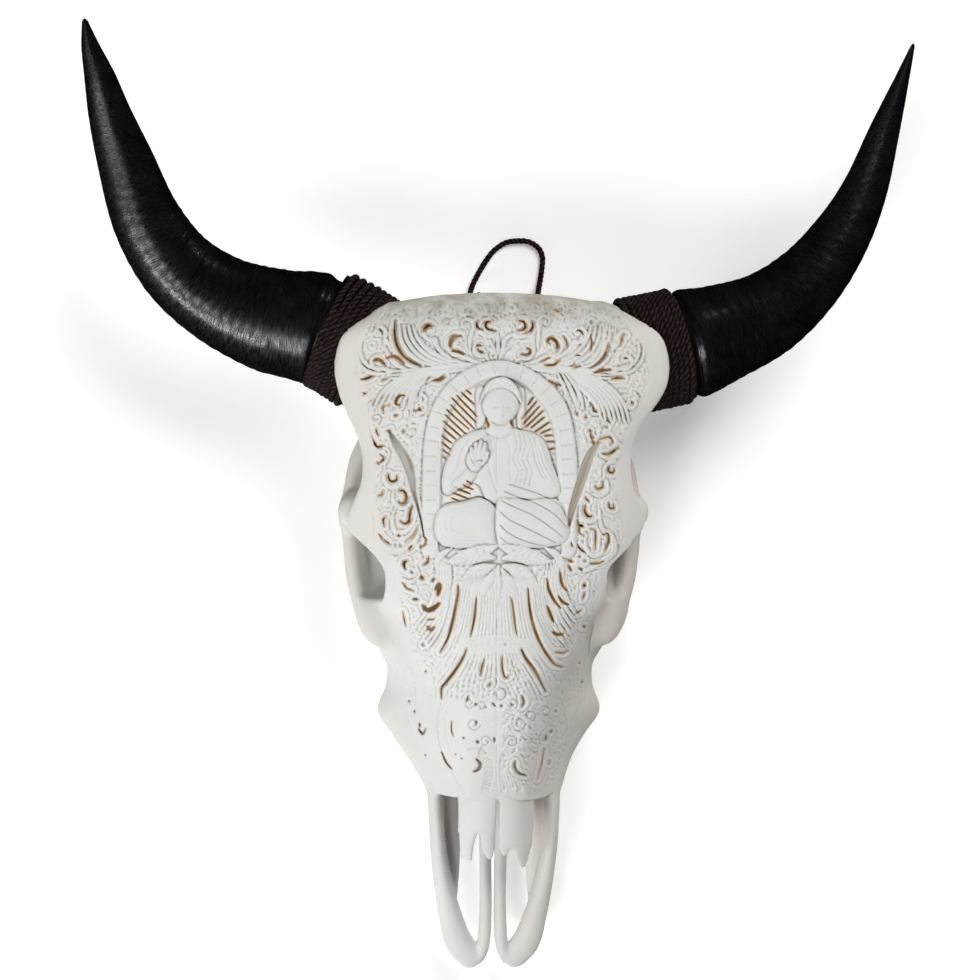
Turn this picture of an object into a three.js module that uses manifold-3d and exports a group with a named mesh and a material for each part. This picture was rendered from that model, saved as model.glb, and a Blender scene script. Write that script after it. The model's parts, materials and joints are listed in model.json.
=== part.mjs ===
import * as THREE from "three";
import { mergeVertices } from "three/addons/utils/BufferGeometryUtils.js";
import Module from "manifold-3d";

// Carved buffalo skull with its horns, lying face up on its cheek teeth.
// Millimetres. +X to the picture's right, +Y towards the poll, +Z up out of the carved face.

// Driving dimensions
const FIT = 0.3; // gap between pieces that touch
const PLATE = 6; // bone left under the carving, over the hollow
const PIERCE = 26; // how far the pierced carving reaches down
const CORE_LENGTH = 105; // bony core inside each horn
const CORE_WALL = 6.5; // thickness of the horn sheath at its mouth
const BASE_RADIUS = 39.6; // horn and boss under the wound cord
const WRAP_TURNS = 8;
const WRAP_CORD = 4.3; // diameter of the wound cord
const CORD_DIAMETER = 4.4; // hanging cord
const CORD_SIDES = 8;
const HORN_SIDES = 12;
const ROOT_TOP = 29; // top of the tooth roots in their sockets
const CROWN_BOTTOM = 0; // grinding faces, on the surface the skull rests on

const wasm = await Module();
wasm.setup();

// Half outlines of the bone across the skull, from the face's middle line round to the palate's.
const PROFILE = [
  [166, [[0, 136], [30, 136], [58, 133], [76, 128], [83, 122], [80, 114], [60, 108], [50, 106], [40, 106],
    [20, 106], [0, 106]]],
  [162, [[0, 146], [35, 145.5], [65, 142], [86, 136], [92, 126], [90, 112], [72, 102], [58, 99], [45, 98],
    [22, 98], [0, 98]]],
  [154, [[0, 151], [40, 150], [75, 147.5], [96, 143], [105, 135], [100, 106], [80, 92], [68, 88], [55, 85],
    [28, 84], [0, 84]]],
  [144, [[0, 155], [42, 154], [80, 152], [102, 148.5], [112, 141], [106, 100], [84, 82], [66, 66], [40, 52],
    [20, 51], [0, 50]]],
  [126, [[0, 159], [45, 158], [84, 156.5], [108, 153], [119, 147], [112, 108], [84, 80], [68, 62], [44, 46],
    [22, 43], [0, 42]]],
  [108, [[0, 162], [46, 161], [86, 159], [111, 154], [121.5, 148], [114, 110], [82, 84], [66, 64], [44, 46],
    [22, 43], [0, 42]]],
  [92, [[0, 164], [46, 163], [86, 160.5], [110, 154], [119, 146], [108, 112], [76, 92], [64, 70], [42, 48],
    [21, 45], [0, 44]]],
  [78, [[0, 166], [46, 165], [84, 161.5], [103, 154.5], [112, 146], [98, 118], [68, 100], [61, 74], [40, 50],
    [20, 47], [0, 46]]],
  [64, [[0, 167], [44, 166], [80, 161.5], [98, 154], [104, 146], [92, 128], [64, 108], [59, 78], [38, 52],
    [19, 49], [0, 48]]],
  [46, [[0, 168], [43, 167], [77, 162], [92, 154], [98.5, 146], [88, 134], [61, 112], [57, 82], [36, 54],
    [18, 51], [0, 50]]],
  [26, [[0, 168], [42, 167], [76, 162], [92, 155], [99, 147], [88, 135], [58, 114], [54, 84], [34, 56],
    [17, 53], [0, 52]]],
  [10, [[0, 167], [42, 166], [78, 160], [97, 151], [105, 142], [94, 130], [56, 112], [52, 84], [32, 56],
    [16, 53], [0, 52]]],
  [-2, [[0, 166], [42, 165], [80, 158], [101, 146], [110, 136], [96, 124], [56, 108], [50, 82], [30, 54],
    [15, 51], [0, 50]]],
  [-19, [[0, 163], [40, 162], [74, 156], [94, 147], [102, 138], [88, 126], [50, 106], [46, 78], [30, 50],
    [15, 47], [0, 46]]],
  [-39, [[0, 159], [36, 158], [64, 152], [77, 146], [84, 139], [78, 126], [52, 104], [50, 70], [38, 42],
    [19, 39], [0, 38]]],
  [-50, [[0, 157], [34, 155.5], [60, 150], [75, 142], [84, 132], [82, 113], [68, 90], [58, 58], [52, 22],
    [31, 24], [0, 34]]],
  [-62, [[0, 154.5], [31, 152.5], [54, 146], [71, 136], [82, 123], [84, 98], [80, 76], [63, 46], [56, 18],
    [36, 19], [0, 32]]],
  [-79, [[0, 149], [28, 146.5], [48, 137], [66, 120], [80, 92], [79, 78], [66, 60], [60, 36], [57, 18],
    [36, 18], [0, 34]]],
  [-104, [[0, 140], [25, 137], [43, 126], [60, 106], [78, 76], [77, 66], [62, 52], [57, 34], [55, 17],
    [34, 17], [0, 33]]],
  [-129, [[0, 130.5], [23, 127.5], [38, 115], [55, 92], [78, 64], [79, 56], [60, 46], [54, 32], [52, 17],
    [31, 17], [0, 32]]],
  [-150, [[0, 124], [22, 121], [35, 108], [52, 84], [83, 60], [85, 50], [60, 42], [52, 30], [50, 17],
    [29, 17], [0, 32]]],
  [-168, [[0, 118], [21.5, 115], [34, 101], [49, 78], [72, 58], [74, 48], [56, 40], [50, 28], [48, 17],
    [27, 17], [0, 32]]],
  [-187, [[0, 109], [21, 106], [33, 92], [46, 72], [61, 54], [63, 44], [50, 36], [46, 26], [45, 19],
    [26, 20], [0, 32]]],
  [-212, [[0, 99], [20.5, 96], [31, 84], [44, 66], [52, 50], [51, 42], [46, 34], [42, 27], [40, 22],
    [24, 24], [0, 33]]],
];

function smooth(t) {
  const c = Math.min(1, Math.max(0, t));
  return c * c * (3 - 2 * c);
}

// The real skull is not quite even: broader on the right at the back, and its nose leans right.
function lean(x, y) {
  const spread = 1 + 0.035 * Math.sign(x) * smooth((y - 60) / 40);
  return x * spread + 4 * smooth((-170 - y) / 45);
}

// Seen from above, the poll is a low arch
function arched(x, y) {
  return y - 9 * (Math.abs(x) / 85) ** 1.6 * smooth((y - 126) / 40);
}

function profileAt(y) {
  const last = PROFILE.length - 1;
  const at = Math.min(PROFILE[0][0], Math.max(PROFILE[last][0], y));
  let i = 0;
  while (i < last - 1 && at < PROFILE[i + 1][0]) i += 1;
  const [y0, a] = PROFILE[i];
  const [y1, b] = PROFILE[i + 1];
  const h = y1 - y0;
  const t = (at - y0) / h;
  return a.map((p, k) => p.map((p0, c) => {
    const p1 = b[k][c];
    const slope = (p1 - p0) / h;
    let m0 = slope;
    let m1 = slope;
    if (i > 0) {
      const [yb, before] = PROFILE[i - 1];
      m0 = 0.5 * (slope + (p0 - before[k][c]) / (y0 - yb));
    }
    if (i < last - 1) {
      const [ya, after] = PROFILE[i + 2];
      m1 = 0.5 * (slope + (after[k][c] - p1) / (ya - y1));
    }
    return (2 * t ** 3 - 3 * t * t + 1) * p0 + (t ** 3 - 2 * t * t + t) * h * m0
      + (3 * t * t - 2 * t ** 3) * p1 + (t ** 3 - t * t) * h * m1;
  }));
}

// Height of the face over the plan point (x, y)
function faceAt(x, y) {
  const side = x < lean(0, y) ? -1 : 1;
  const points = profileAt(y).slice(0, 5).map(([px, z]) => [Math.abs(lean(side * px, y) - lean(0, y)), z]);
  const out = Math.abs(x - lean(0, y));
  for (let k = 0; k < 4; k += 1) {
    const [x0, z0] = points[k];
    const [x1, z1] = points[k + 1];
    if (out <= x1) return z0 + (z1 - z0) * (out - x0) / Math.max(x1 - x0, 1e-6);
  }
  return points[4][1];
}

// Closed bodies
function bodyOf(positions, triangles) {
  const mesh = new wasm.Mesh({
    numProp: 3,
    vertProperties: new Float32Array(positions),
    triVerts: new Uint32Array(triangles),
  });
  return new wasm.Manifold(mesh);
}

function fromGeometry(geometry) {
  const plain = geometry.clone();
  plain.deleteAttribute("normal");
  plain.deleteAttribute("uv");
  const merged = mergeVertices(plain, 1e-4);
  return bodyOf(merged.attributes.position.array, merged.index.array);
}

function signedVolume(positions, triangles) {
  let total = 0;
  const a = new THREE.Vector3();
  const b = new THREE.Vector3();
  const c = new THREE.Vector3();
  for (let i = 0; i < triangles.length; i += 3) {
    a.fromArray(positions, 3 * triangles[i]);
    b.fromArray(positions, 3 * triangles[i + 1]);
    c.fromArray(positions, 3 * triangles[i + 2]);
    total += a.dot(b.cross(c));
  }
  return total;
}

// Skin through rings of equal point counts; flat ends are cut into triangles in their own plane.
function loft(rings) {
  const count = rings[0].length;
  const positions = rings.flat(2);
  const triangles = [];
  for (let r = 0; r + 1 < rings.length; r += 1) {
    for (let i = 0; i < count; i += 1) {
      const a = r * count + i;
      const b = r * count + ((i + 1) % count);
      triangles.push(a, b, b + count, a, b + count, a + count);
    }
  }
  const [p, q] = [rings[0], rings[rings.length - 1]];
  const axis = p[0].map((v, k) => Math.abs(centre(q)[k] - centre(p)[k]));
  const drop = axis.indexOf(Math.max(...axis));
  for (const [ring, first] of [[p, 0], [q, (rings.length - 1) * count]]) {
    const flat = ring.map((point) => new THREE.Vector2(...point.filter((v, k) => k !== drop)));
    const faces = THREE.ShapeUtils.triangulateShape(flat, []);
    const turned = faces.reduce((sum, face) => sum + THREE.ShapeUtils.area(face.map((i) => flat[i])), 0);
    const follows = turned * THREE.ShapeUtils.area(flat) > 0;
    const flip = first === 0 ? follows : !follows;
    for (const [i, j, k] of faces) {
      if (flip) triangles.push(first + i, first + k, first + j);
      else triangles.push(first + i, first + j, first + k);
    }
  }
  if (signedVolume(positions, triangles) < 0) triangles.reverse();
  return bodyOf(positions, triangles);
}

function centre(ring) {
  return [0, 1, 2].map((k) => ring.reduce((sum, point) => sum + point[k], 0) / ring.length);
}

// Tapered limb along a curve: radii are [across, up] at each control point.
function limb(points, radii, { sides = 10, steps = 3, up = [0, 0, 1] } = {}) {
  const curve = new THREE.CatmullRomCurve3(points.map((p) => new THREE.Vector3(...p)), false, "centripetal");
  const spans = points.length - 1;
  const total = spans * steps;
  const reference = new THREE.Vector3(...up);
  const rings = [];
  for (let s = 0; s <= total; s += 1) {
    const at = curve.getPoint(s / total);
    const along = curve.getTangent(s / total);
    const across = new THREE.Vector3().crossVectors(along, reference).normalize();
    const over = new THREE.Vector3().crossVectors(across, along).normalize();
    const span = Math.min(spans - 1, Math.floor(s / steps));
    const t = s / steps - span;
    const [ra, rb] = [radii[span], radii[span + 1]];
    const width = ra[0] + (rb[0] - ra[0]) * t;
    const height = ra[1] + (rb[1] - ra[1]) * t;
    rings.push(Array.from({ length: sides }, (unused, i) => {
      const angle = (2 * Math.PI * (i + 0.5)) / sides;
      return at.clone()
        .addScaledVector(across, width * Math.cos(angle))
        .addScaledVector(over, height * Math.sin(angle))
        .toArray();
    }));
  }
  return loft(rings);
}

function ellipsoid(at, radii, segments = 14) {
  const ball = new THREE.SphereGeometry(1, segments, Math.round(segments * 0.6));
  ball.scale(...radii);
  ball.translate(...at);
  return fromGeometry(ball);
}

function block(low, high) {
  const size = high.map((v, k) => v - low[k]);
  const box = new THREE.BoxGeometry(...size);
  box.translate(...high.map((v, k) => (v + low[k]) / 2));
  return fromGeometry(box);
}

function both(make) {
  return make(-1).add(make(1));
}

function joined(bodies) {
  return bodies.reduce((whole, body) => whole.add(body));
}

// Bone: cranium and muzzle
const stations = [];
for (let i = 0; i + 1 < PROFILE.length; i += 1) {
  const [y0, y1] = [PROFILE[i][0], PROFILE[i + 1][0]];
  stations.push(y0);
  if (y0 - y1 > 22) stations.push((y0 + y1) / 2);
}
stations.push(PROFILE[PROFILE.length - 1][0]);

function mirroredRing(half, y) {
  const right = half.map(([x, z]) => [lean(x, y), arched(x, y), z]);
  const left = half.slice(1, -1).reverse().map(([x, z]) => [lean(-x, y), arched(x, y), z]);
  return [...right, ...left];
}

let bone = loft(stations.map((y) => mirroredRing(profileAt(y), y)));

// Cheek bone below each eye, and the eye sockets
bone = bone.add(both((side) => ellipsoid([side * 84, -52, 84], [22, 46, 20], 12)));
bone = bone.subtract(both((side) => ellipsoid([side * 96, -30, 112], [37, 33, 32], 12)));

// Horns: centre lines from the bone's edge to the tip, each point with its radius
const HORNS = {
  left: [
    [-90.6, 117.9, 101, BASE_RADIUS], [-124.7, 138.2, 98, BASE_RADIUS], [-164.8, 146.5, 96, 40],
    [-201.8, 161.2, 96, 34.5], [-232.5, 183.7, 101, 30.4], [-255.1, 217, 112, 26.4],
    [-270.3, 260.2, 127, 21.2], [-279.7, 290.6, 141, 16.2], [-285.5, 314.9, 153, 12],
    [-291.4, 336.4, 163, 7], [-294.6, 353.9, 171, 2.2],
  ],
  right: [
    [100.5, 119.4, 101, BASE_RADIUS], [142.4, 128.6, 98, BASE_RADIUS], [173, 138.4, 96, 37.8],
    [208.3, 153.7, 96, 33], [239.5, 180, 101, 27.6], [261.9, 211.5, 111, 22.6],
    [276.5, 243.8, 123, 17.6], [287.9, 286.2, 139, 11.8], [297, 320.6, 153, 6],
    [303.1, 345.6, 164, 1.8],
  ],
};

// Evenly walked centre line with untwisted frames, so that boss, core, horn and cord share facets
function hornLine(points) {
  const curve = new THREE.CatmullRomCurve3(
    points.map(([x, y, z]) => new THREE.Vector3(x, y, z)), false, "centripetal",
  );
  const count = 160;
  const line = [];
  let walked = 0;
  let across = null;
  for (let i = 0; i <= count; i += 1) {
    const t = i / count;
    const at = curve.getPoint(t);
    const along = curve.getTangent(t);
    if (i > 0) walked += at.distanceTo(line[i - 1].at);
    if (!across) across = new THREE.Vector3().crossVectors(along, new THREE.Vector3(0, 0, 1));
    across = across.clone().addScaledVector(along, -across.dot(along)).normalize();
    const over = new THREE.Vector3().crossVectors(across, along).normalize();
    const span = Math.min(points.length - 2, Math.floor(t * (points.length - 1)));
    const part = t * (points.length - 1) - span;
    const radius = points[span][3] + (points[span + 1][3] - points[span][3]) * part;
    line.push({ at, along, across, over, walked, radius });
  }
  return line;
}

function lineAt(line, s) {
  const end = line[line.length - 1];
  const at = Math.min(end.walked, s);
  let i = 0;
  while (i < line.length - 2 && line[i + 1].walked < at) i += 1;
  const [a, b] = [line[i], line[i + 1]];
  const t = (at - a.walked) / (b.walked - a.walked);
  const point = a.at.clone().lerp(b.at, t);
  const along = a.along.clone().lerp(b.along, t).normalize();
  const across = a.across.clone().lerp(b.across, t);
  across.addScaledVector(along, -across.dot(along)).normalize();
  const over = new THREE.Vector3().crossVectors(across, along).normalize();
  return { point, along, across, over, radius: a.radius + (b.radius - a.radius) * t };
}

function ringAt(line, s, radius) {
  const { point, along, across, over } = lineAt(line, Math.max(0, s));
  const base = s < 0 ? point.clone().addScaledVector(along, s) : point;
  return Array.from({ length: HORN_SIDES }, (unused, i) => {
    const angle = (2 * Math.PI * i) / HORN_SIDES;
    return base.clone()
      .addScaledVector(across, radius * Math.cos(angle))
      .addScaledVector(over, radius * Math.sin(angle))
      .toArray();
  });
}

function hornSet(points) {
  const line = hornLine(points);
  const length = line[line.length - 1].walked;
  const wrapLength = WRAP_TURNS * WRAP_CORD;
  const wrapEnd = new THREE.Vector3(...points[0]).distanceTo(new THREE.Vector3(...points[1])) + 1;
  const wrapStart = wrapEnd - wrapLength;
  const seam = wrapStart + wrapLength * 0.5; // the sheath meets the boss under the wound cord
  const coreEnd = seam + CORE_LENGTH;
  const coreRadius = (s) => {
    if (s > coreEnd - 1) return 12;
    const t = (s - seam) / CORE_LENGTH;
    return (BASE_RADIUS - CORE_WALL) * (1 - 0.42 * t - 0.12 * t * t);
  };
  const outer = (s) => {
    if (s < wrapEnd + 1.5) return BASE_RADIUS;
    const flare = 3 * Math.exp(-(((s - wrapEnd - 8) / 16) ** 2)) * smooth((s - wrapEnd - 1) / 5);
    return lineAt(line, s).radius + flare;
  };
  const walk = (stops, radius) => loft(stops.map((s) => ringAt(line, s, radius(s))));

  const boss = walk([-40, -20, 0, wrapStart, seam - FIT], () => BASE_RADIUS);
  const coreStops = [seam - 4, seam + 26, seam + 56, seam + 82, coreEnd - 6, coreEnd];
  const core = walk(coreStops, coreRadius);
  const socket = walk([...coreStops.slice(0, -1), coreEnd + 0.8], (s) => coreRadius(s) + FIT + 0.05);

  const stops = [seam, wrapEnd + 1.5, wrapEnd + 4, wrapEnd + 8];
  const bands = 12;
  for (let i = 1; i <= bands; i += 1) stops.push(wrapEnd + 8 + (length - wrapEnd - 8) * (i / bands));
  const sheath = walk(stops, outer).subtract(socket);

  // Wound cord: each turn is a rounded rib
  const ribs = new Map();
  for (let turn = 0; turn < WRAP_TURNS; turn += 1) {
    ribs.set(wrapStart + turn * WRAP_CORD, turn === 0 ? 0.9 : 2);
    ribs.set(wrapStart + (turn + 0.5) * WRAP_CORD, WRAP_CORD);
  }
  ribs.set(wrapEnd, 0.9);
  const rope = walk([...ribs.keys()], (s) => BASE_RADIUS + FIT + ribs.get(s));
  const bore = walk([wrapStart - 3, wrapStart, seam, wrapEnd, wrapEnd + 1.4], () => BASE_RADIUS + FIT);
  const room = walk([wrapStart - FIT, seam, wrapEnd, wrapEnd + 12], () => BASE_RADIUS + 2 * FIT + WRAP_CORD);
  return { boss, core, sheath, wrap: rope.subtract(bore), room };
}

const horn = { left: hornSet(HORNS.left), right: hornSet(HORNS.right) };

// Cheek arches, bars behind the eyes, and the back and underside of the head
const archWay = [
  [62, 80, 70], [84, 68, 74], [99, 47, 80], [105, 21, 84], [106, -4, 86], [104, -29, 85], [100, -52, 82],
  [90, -74, 76], [78, -95, 66], [68, -118, 58],
];
const arches = both((side) => limb(
  archWay.map(([x, y, z]) => [side * x, y, z]),
  [[6, 12], [6, 11], [5.5, 9], [5.5, 9], [6, 10], [6.5, 11], [7, 12], [8, 13], [8, 12], [6, 8]],
  { sides: 6, steps: 1 },
));
const bars = both((side) => limb(
  [[side * 98, 2, 138], [side * 107, 4, 122], [side * 108, 4, 104], [side * 106, 2, 86]],
  [[8, 10], [6, 8], [6, 8], [6, 12]],
  { sides: 6, steps: 1, up: [0, 1, 0] },
));
const condyles = both((side) => ellipsoid([side * 24, 144, 50], [15, 16, 19], 8));
const skullBase = limb(
  [[0, 138, 44], [0, 100, 42], [0, 60, 41], [0, 20, 42], [0, -20, 46]],
  [[19, 9], [16, 9], [13, 9], [11, 9], [10, 8]],
  { sides: 8, steps: 1 },
);
const bullae = both((side) => ellipsoid([side * 36, 88, 42], [11, 16, 15], 8));
const hooks = both((side) => limb(
  [[side * 50, 124, 66], [side * 49, 122, 44], [side * 46, 117, 22], [side * 44, 113, -6]],
  [[10, 14], [8, 11], [6, 9], [5.5, 8]],
  { sides: 6, steps: 1, up: [0, 1, 0] },
));
// Nose: bars of the front jaw, palate rods and the forked nasal bones
function leant(points) {
  return points.map(([x, y, z]) => [lean(x, y), y, z]);
}
const frontJaw = both((side) => limb(
  leant([
    [side * 46, -180, 60], [side * 46, -208, 54], [side * 44.5, -235, 52], [side * 42.5, -260, 49],
    [side * 38.5, -286, 44], [side * 33, -311, 38], [side * 25.5, -334, 33], [side * 14, -349, 30],
  ]),
  [[8, 16], [5.5, 13], [5, 11], [5.5, 9], [6.5, 8], [8, 7], [9.5, 6.5], [8.5, 5.5]],
  { sides: 8, steps: 1 },
));
const rods = both((side) => limb(
  leant([
    [side * 6.2, -196, 38], [side * 6.2, -230, 38], [side * 6, -270, 38], [side * 5.8, -310, 36],
    [side * 7.5, -338, 33], [side * 11, -350, 30],
  ]),
  [[4.6, 6], [4.6, 5.5], [4.4, 5], [4.4, 5], [4.6, 5], [4, 4.5]],
  { sides: 6, steps: 1 },
));

// Thin plate between an inner and an outer edge: [y, inner x, outer x, inner z, outer z]
function plate(rows, thick) {
  return loft(rows.map(([y, inner, outer, zInner, zOuter]) => {
    const bulge = 0.17 * Math.abs(outer - inner);
    const topSide = [0, 0.5, 1].map((t) => [
      inner + (outer - inner) * t,
      zInner + (zOuter - zInner) * t + bulge * Math.sin(Math.PI * t),
    ]);
    const underSide = topSide.slice().reverse().map(([x, z]) => [x, z - thick]);
    return [...topSide, ...underSide].map(([x, z]) => [lean(x, y), y, z]);
  }));
}
const nasals = joined([
  plate([[-196, -1, -29.5, 104.3, 90.5], [-214, -1, -29.4, 98, 85.8], [-228, -1.1, -29, 93, 82.4],
    [-239, -1.3, -29, 89, 79]], 4.2),
  plate([[-237, -13.9, -29, 89.4, 79.6], [-250, -17.5, -28, 83.5, 75.8], [-262, -18.1, -26.4, 78.5, 73]], 4),
  plate([[-237, -1.3, -13.1, 88.8, 88.6], [-250, -1.2, -12.4, 84, 84.2], [-256, -2, -9.5, 81.8, 82],
    [-261, -3.8, -5.8, 80, 80]], 4),
  plate([[-196, 1, 29, 104.3, 90.5], [-214, 1, 28.8, 98, 86], [-232, 1.1, 28.8, 91.5, 81.3],
    [-252, 1.6, 27.6, 84.4, 75.5]], 4.2),
  plate([[-250, 11.5, 27.3, 85.2, 76], [-258, 14, 25.5, 81.3, 73.8], [-268, 18.5, 23, 76, 72]], 4),
  plate([[-250, 1.6, 11, 84.6, 84.6], [-254, 3, 9.6, 82.8, 82.8], [-258, 5, 7.2, 81.2, 81.2]], 4),
]);

// Hollow under the face and along the nose, open at the nose
const hollowRows = [122, 78, 20, 6, -42, -66, -104, -150, -212];
const hollowFloor = [
  [122, 124], [78, 130], [20, 131], [-20, 124], [-42, 112], [-62, 92], [-79, 76], [-104, 58], [-129, 48],
  [-168, 44], [-230, 42],
];
function between(table, y) {
  let i = 0;
  while (i < table.length - 2 && y < table[i + 1][0]) i += 1;
  const [[y0, a], [y1, b]] = [table[i], table[i + 1]];
  return a + (b - a) * (y - y0) / (y1 - y0);
}
function hollowRing(y, shown) {
  const p = profileAt(y);
  const floor = between(hollowFloor, y);
  const limit = y < 8 && y > -70 ? 50 : 88;
  const inset = (x, factor) => Math.min(x * factor, limit);
  const shoulder = Math.max(floor + 6, p[3][1] - PLATE - 2);
  return mirroredRing([
    [0, p[0][1] - PLATE],
    [inset(p[1][0], 0.9), p[1][1] - PLATE],
    [inset(p[2][0], 0.86), p[2][1] - PLATE - 1],
    [inset(p[3][0], 0.84) + 2, shoulder],
    [inset(p[3][0], 0.84), floor + 3],
    [inset(p[1][0], 0.8), floor],
    [0, floor],
  ], y).map(([x, unused, z]) => [x, shown, z]);
}
const hollow = loft([
  ...hollowRows.map((y) => hollowRing(y, y)),
  hollowRing(-212, -232),
]);

const throat = limb(
  [[0, 176, 64], [0, 150, 66], [0, 120, 72], [0, 90, 80]],
  [[17, 17], [17, 17], [20, 19], [14, 14]],
  { sides: 10, steps: 1 },
);

// Carving. Pierced work: [half width, plan points]
const PIERCED = [
  // rays inside the arch
  [1.1, [-26.7, 90.1], [-17.9, 81.8]],
  [1.2, [-30.1, 87.9], [-15.8, 73.2]],
  [1.2, [-37.4, 77.4], [-21.6, 63.8]],
  [1.2, [27.5, 84.1], [16.6, 71.1]],
  [1.2, [29.7, 80.5], [17.3, 67]],
  [1.2, [-28.5, 20.4], [-20.5, 17.3]],
  [1.2, [-32.4, 17.8], [-22.1, 13.7]],
  // volutes along the poll
  [1.6, [-75.1, 142.2], [-73.7, 133.4], [-70.2, 120.9], [-64.5, 114.4], [-55.9, 109.3]],
  [1.9, [-54.3, 134.1], [-50.9, 137.2], [-47, 137.8]],
  [2.1, [-35.6, 123.1], [-35.4, 128.6], [-31.2, 131.5], [-26.9, 131.9]],
  [1.6, [-80.3, 116.6], [-67.4, 110.7]],
  [1.9, [28.7, 121.2], [31, 127.8], [36.2, 130]],
  [1.6, [80.1, 126.7], [76.9, 116.4], [70.9, 109.1], [62.8, 105.4]],
  [1.5, [69.4, 109.8], [82.6, 104]],
  [1.5, [56.2, 143.5], [64.2, 139.1], [68.4, 131.8]],
  [1.6, [52.1, 125.7], [57.2, 121.4], [57.8, 115.5]],
  // slots between the long leaves
  [1.3, [-28.3, -50.1], [-30.2, -67], [-32.8, -79], [-36.8, -90.4], [-40.9, -99.7]],
  [1.3, [-15.4, -57.9], [-15.9, -70.7], [-18.3, -84.8]],
  [1.2, [9.9, -57.9], [11.6, -69.3], [13.8, -84.9]],
  [1.3, [22.1, -51.3], [23.4, -65.7], [26.4, -78.3], [32.6, -94], [38.8, -103.6], [44.9, -111.4]],
  [1.2, [35.5, -43.4], [37.8, -53.3], [42, -61.5], [47.9, -67.6]],
  [1.3, [-21.7, -96.1], [-25.8, -107.4], [-32.6, -117.8], [-38.4, -125.7], [-39.3, -135.4]],
  [1.3, [17.9, -97], [23.7, -106.5], [29.9, -115.3], [36, -125.9]],
  // commas on the sides
  [1.7, [-71.7, 19.3], [-66.7, 12.1]],
  [1.8, [-70.3, 8.5], [-65.3, 3.5], [-60.9, -3.7]],
  [1.8, [-41.2, -47], [-43.3, -56.1]],
  [1.7, [62.5, 14.2], [65.5, 8.4], [68.5, 1.9]],
  [1.6, [77, -12.6], [80.4, -20], [78.4, -26.6]],
  [1.7, [66.5, -50.1], [62.5, -59.7]],
  // nose
  [1.4, [-11.9, -107.6], [-11.7, -119.5]],
  [1.5, [2.6, -105], [5.9, -116.4]],
  [1.5, [-13.8, -189.7], [-12.4, -185.7], [-10.3, -183.3]],
  [1.6, [15.2, -184.4], [19.7, -183.7], [24.7, -191.3]],
];

// Raised work: [half width, height, plan points]
const RAISED = [
  [7, 2.6, [-47.3, -10], [-46.7, 16.4], [-46.8, 41.5], [-43.9, 70.2], [-31.5, 94.8], [-14.9, 107.2],
    [-0.4, 110.5], [14, 108], [30.6, 96.5], [43.4, 74], [49.1, 41.6], [50.6, 16.4], [52.4, -10]],
  // leaves sweeping out from the arch's top
  [3.2, 1.6, [-18, 116], [-34, 110], [-52, 104], [-68, 99], [-84, 92]],
  [3.2, 1.6, [18, 116], [34, 110], [52, 104], [68, 99], [86, 92]],
  [2.4, 1.5, [-82, 144], [-80, 131], [-76, 118], [-68, 108], [-56, 103]],
  [2.4, 1.5, [86, 134], [82, 118], [74, 105], [62, 99]],
  [2.6, 1.5, [-42, 140], [-44, 128], [-38, 120], [-26, 124], [-24, 134]],
  [2.6, 1.5, [44, 140], [44, 128], [38, 120], [26, 124], [24, 134]],
  // rolls round the side commas
  [2.6, 1.5, [-60, 60], [-62, 40], [-58, 22], [-56, 2], [-62, -14], [-74, -22]],
  [2.6, 1.5, [62, 60], [62, 40], [58, 22], [54, 2], [60, -12], [72, -20]],
  // long leaves down the bridge of the nose
  [2.8, 1.6, [-21.5, -28], [-22.5, -60], [-27, -88], [-38, -112]],
  [2.8, 1.6, [16, -28], [17, -60], [20, -86], [28, -104]],
  [2.6, 1.5, [-24, -170], [-24, -186], [-14, -196], [-6, -188]],
  [2.6, 1.5, [28, -172], [30, -186], [22, -197], [11, -190]],
];

// Praying figure under the arch, bodies set into the face: [x, y, sunk, radii]
const FIGURE_MASSES = [
  [0, 79, 1, [11, 13.5, 9]],
  [0, 97, 1, [9.5, 12, 6]],
  [0.5, 46, 2, [20, 22, 7.5]],
  [-24, 4, 2, [22, 13, 8]],
  [26, 2, 2, [24, 14, 8]],
  [0, -14, 2, [34, 9, 6]],
];
const FIGURE_LIMBS = [
  [5.5, 5, [-14, 61], [-31, 52], [-37, 26], [-14, 36]],
  [5.5, 5, [15, 61], [33, 52], [41, 26], [13, 37]],
];

function overFace(points, height) {
  return points.map(([x, y]) => [x, y, faceAt(x, y) + height]);
}

function ridge(halfWidth, height, points, sides) {
  const radii = points.map((point, i) => {
    const end = i === 0 || i === points.length - 1;
    return end ? [halfWidth * 0.55, height * 0.7] : [halfWidth, height];
  });
  return limb(overFace(points, 0), radii, { sides, steps: 1 });
}

// Pierced slot with pointed ends, cut straight down
function slot(halfWidth, points) {
  const flat = points.map(([x, y]) => new THREE.Vector2(x, y));
  const curve = new THREE.SplineCurve(flat);
  const steps = 2 * (points.length - 1);
  const near = [];
  const far = [];
  for (let i = 0; i <= steps; i += 1) {
    const at = curve.getPoint(i / steps);
    const along = curve.getTangent(i / steps);
    const wide = halfWidth * (0.25 + 0.75 * Math.sin(Math.PI * i / steps) ** 0.7);
    near.push(new THREE.Vector2(at.x - along.y * wide, at.y + along.x * wide));
    far.unshift(new THREE.Vector2(at.x + along.y * wide, at.y - along.x * wide));
  }
  const heights = points.map(([x, y]) => faceAt(x, y));
  const low = Math.min(...heights) - PIERCE;
  const depth = Math.max(...heights) + 20 - low;
  const cut = new THREE.ExtrudeGeometry(new THREE.Shape([...near, ...far]), { depth, bevelEnabled: false });
  cut.translate(0, 0, low);
  return fromGeometry(cut);
}

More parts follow.
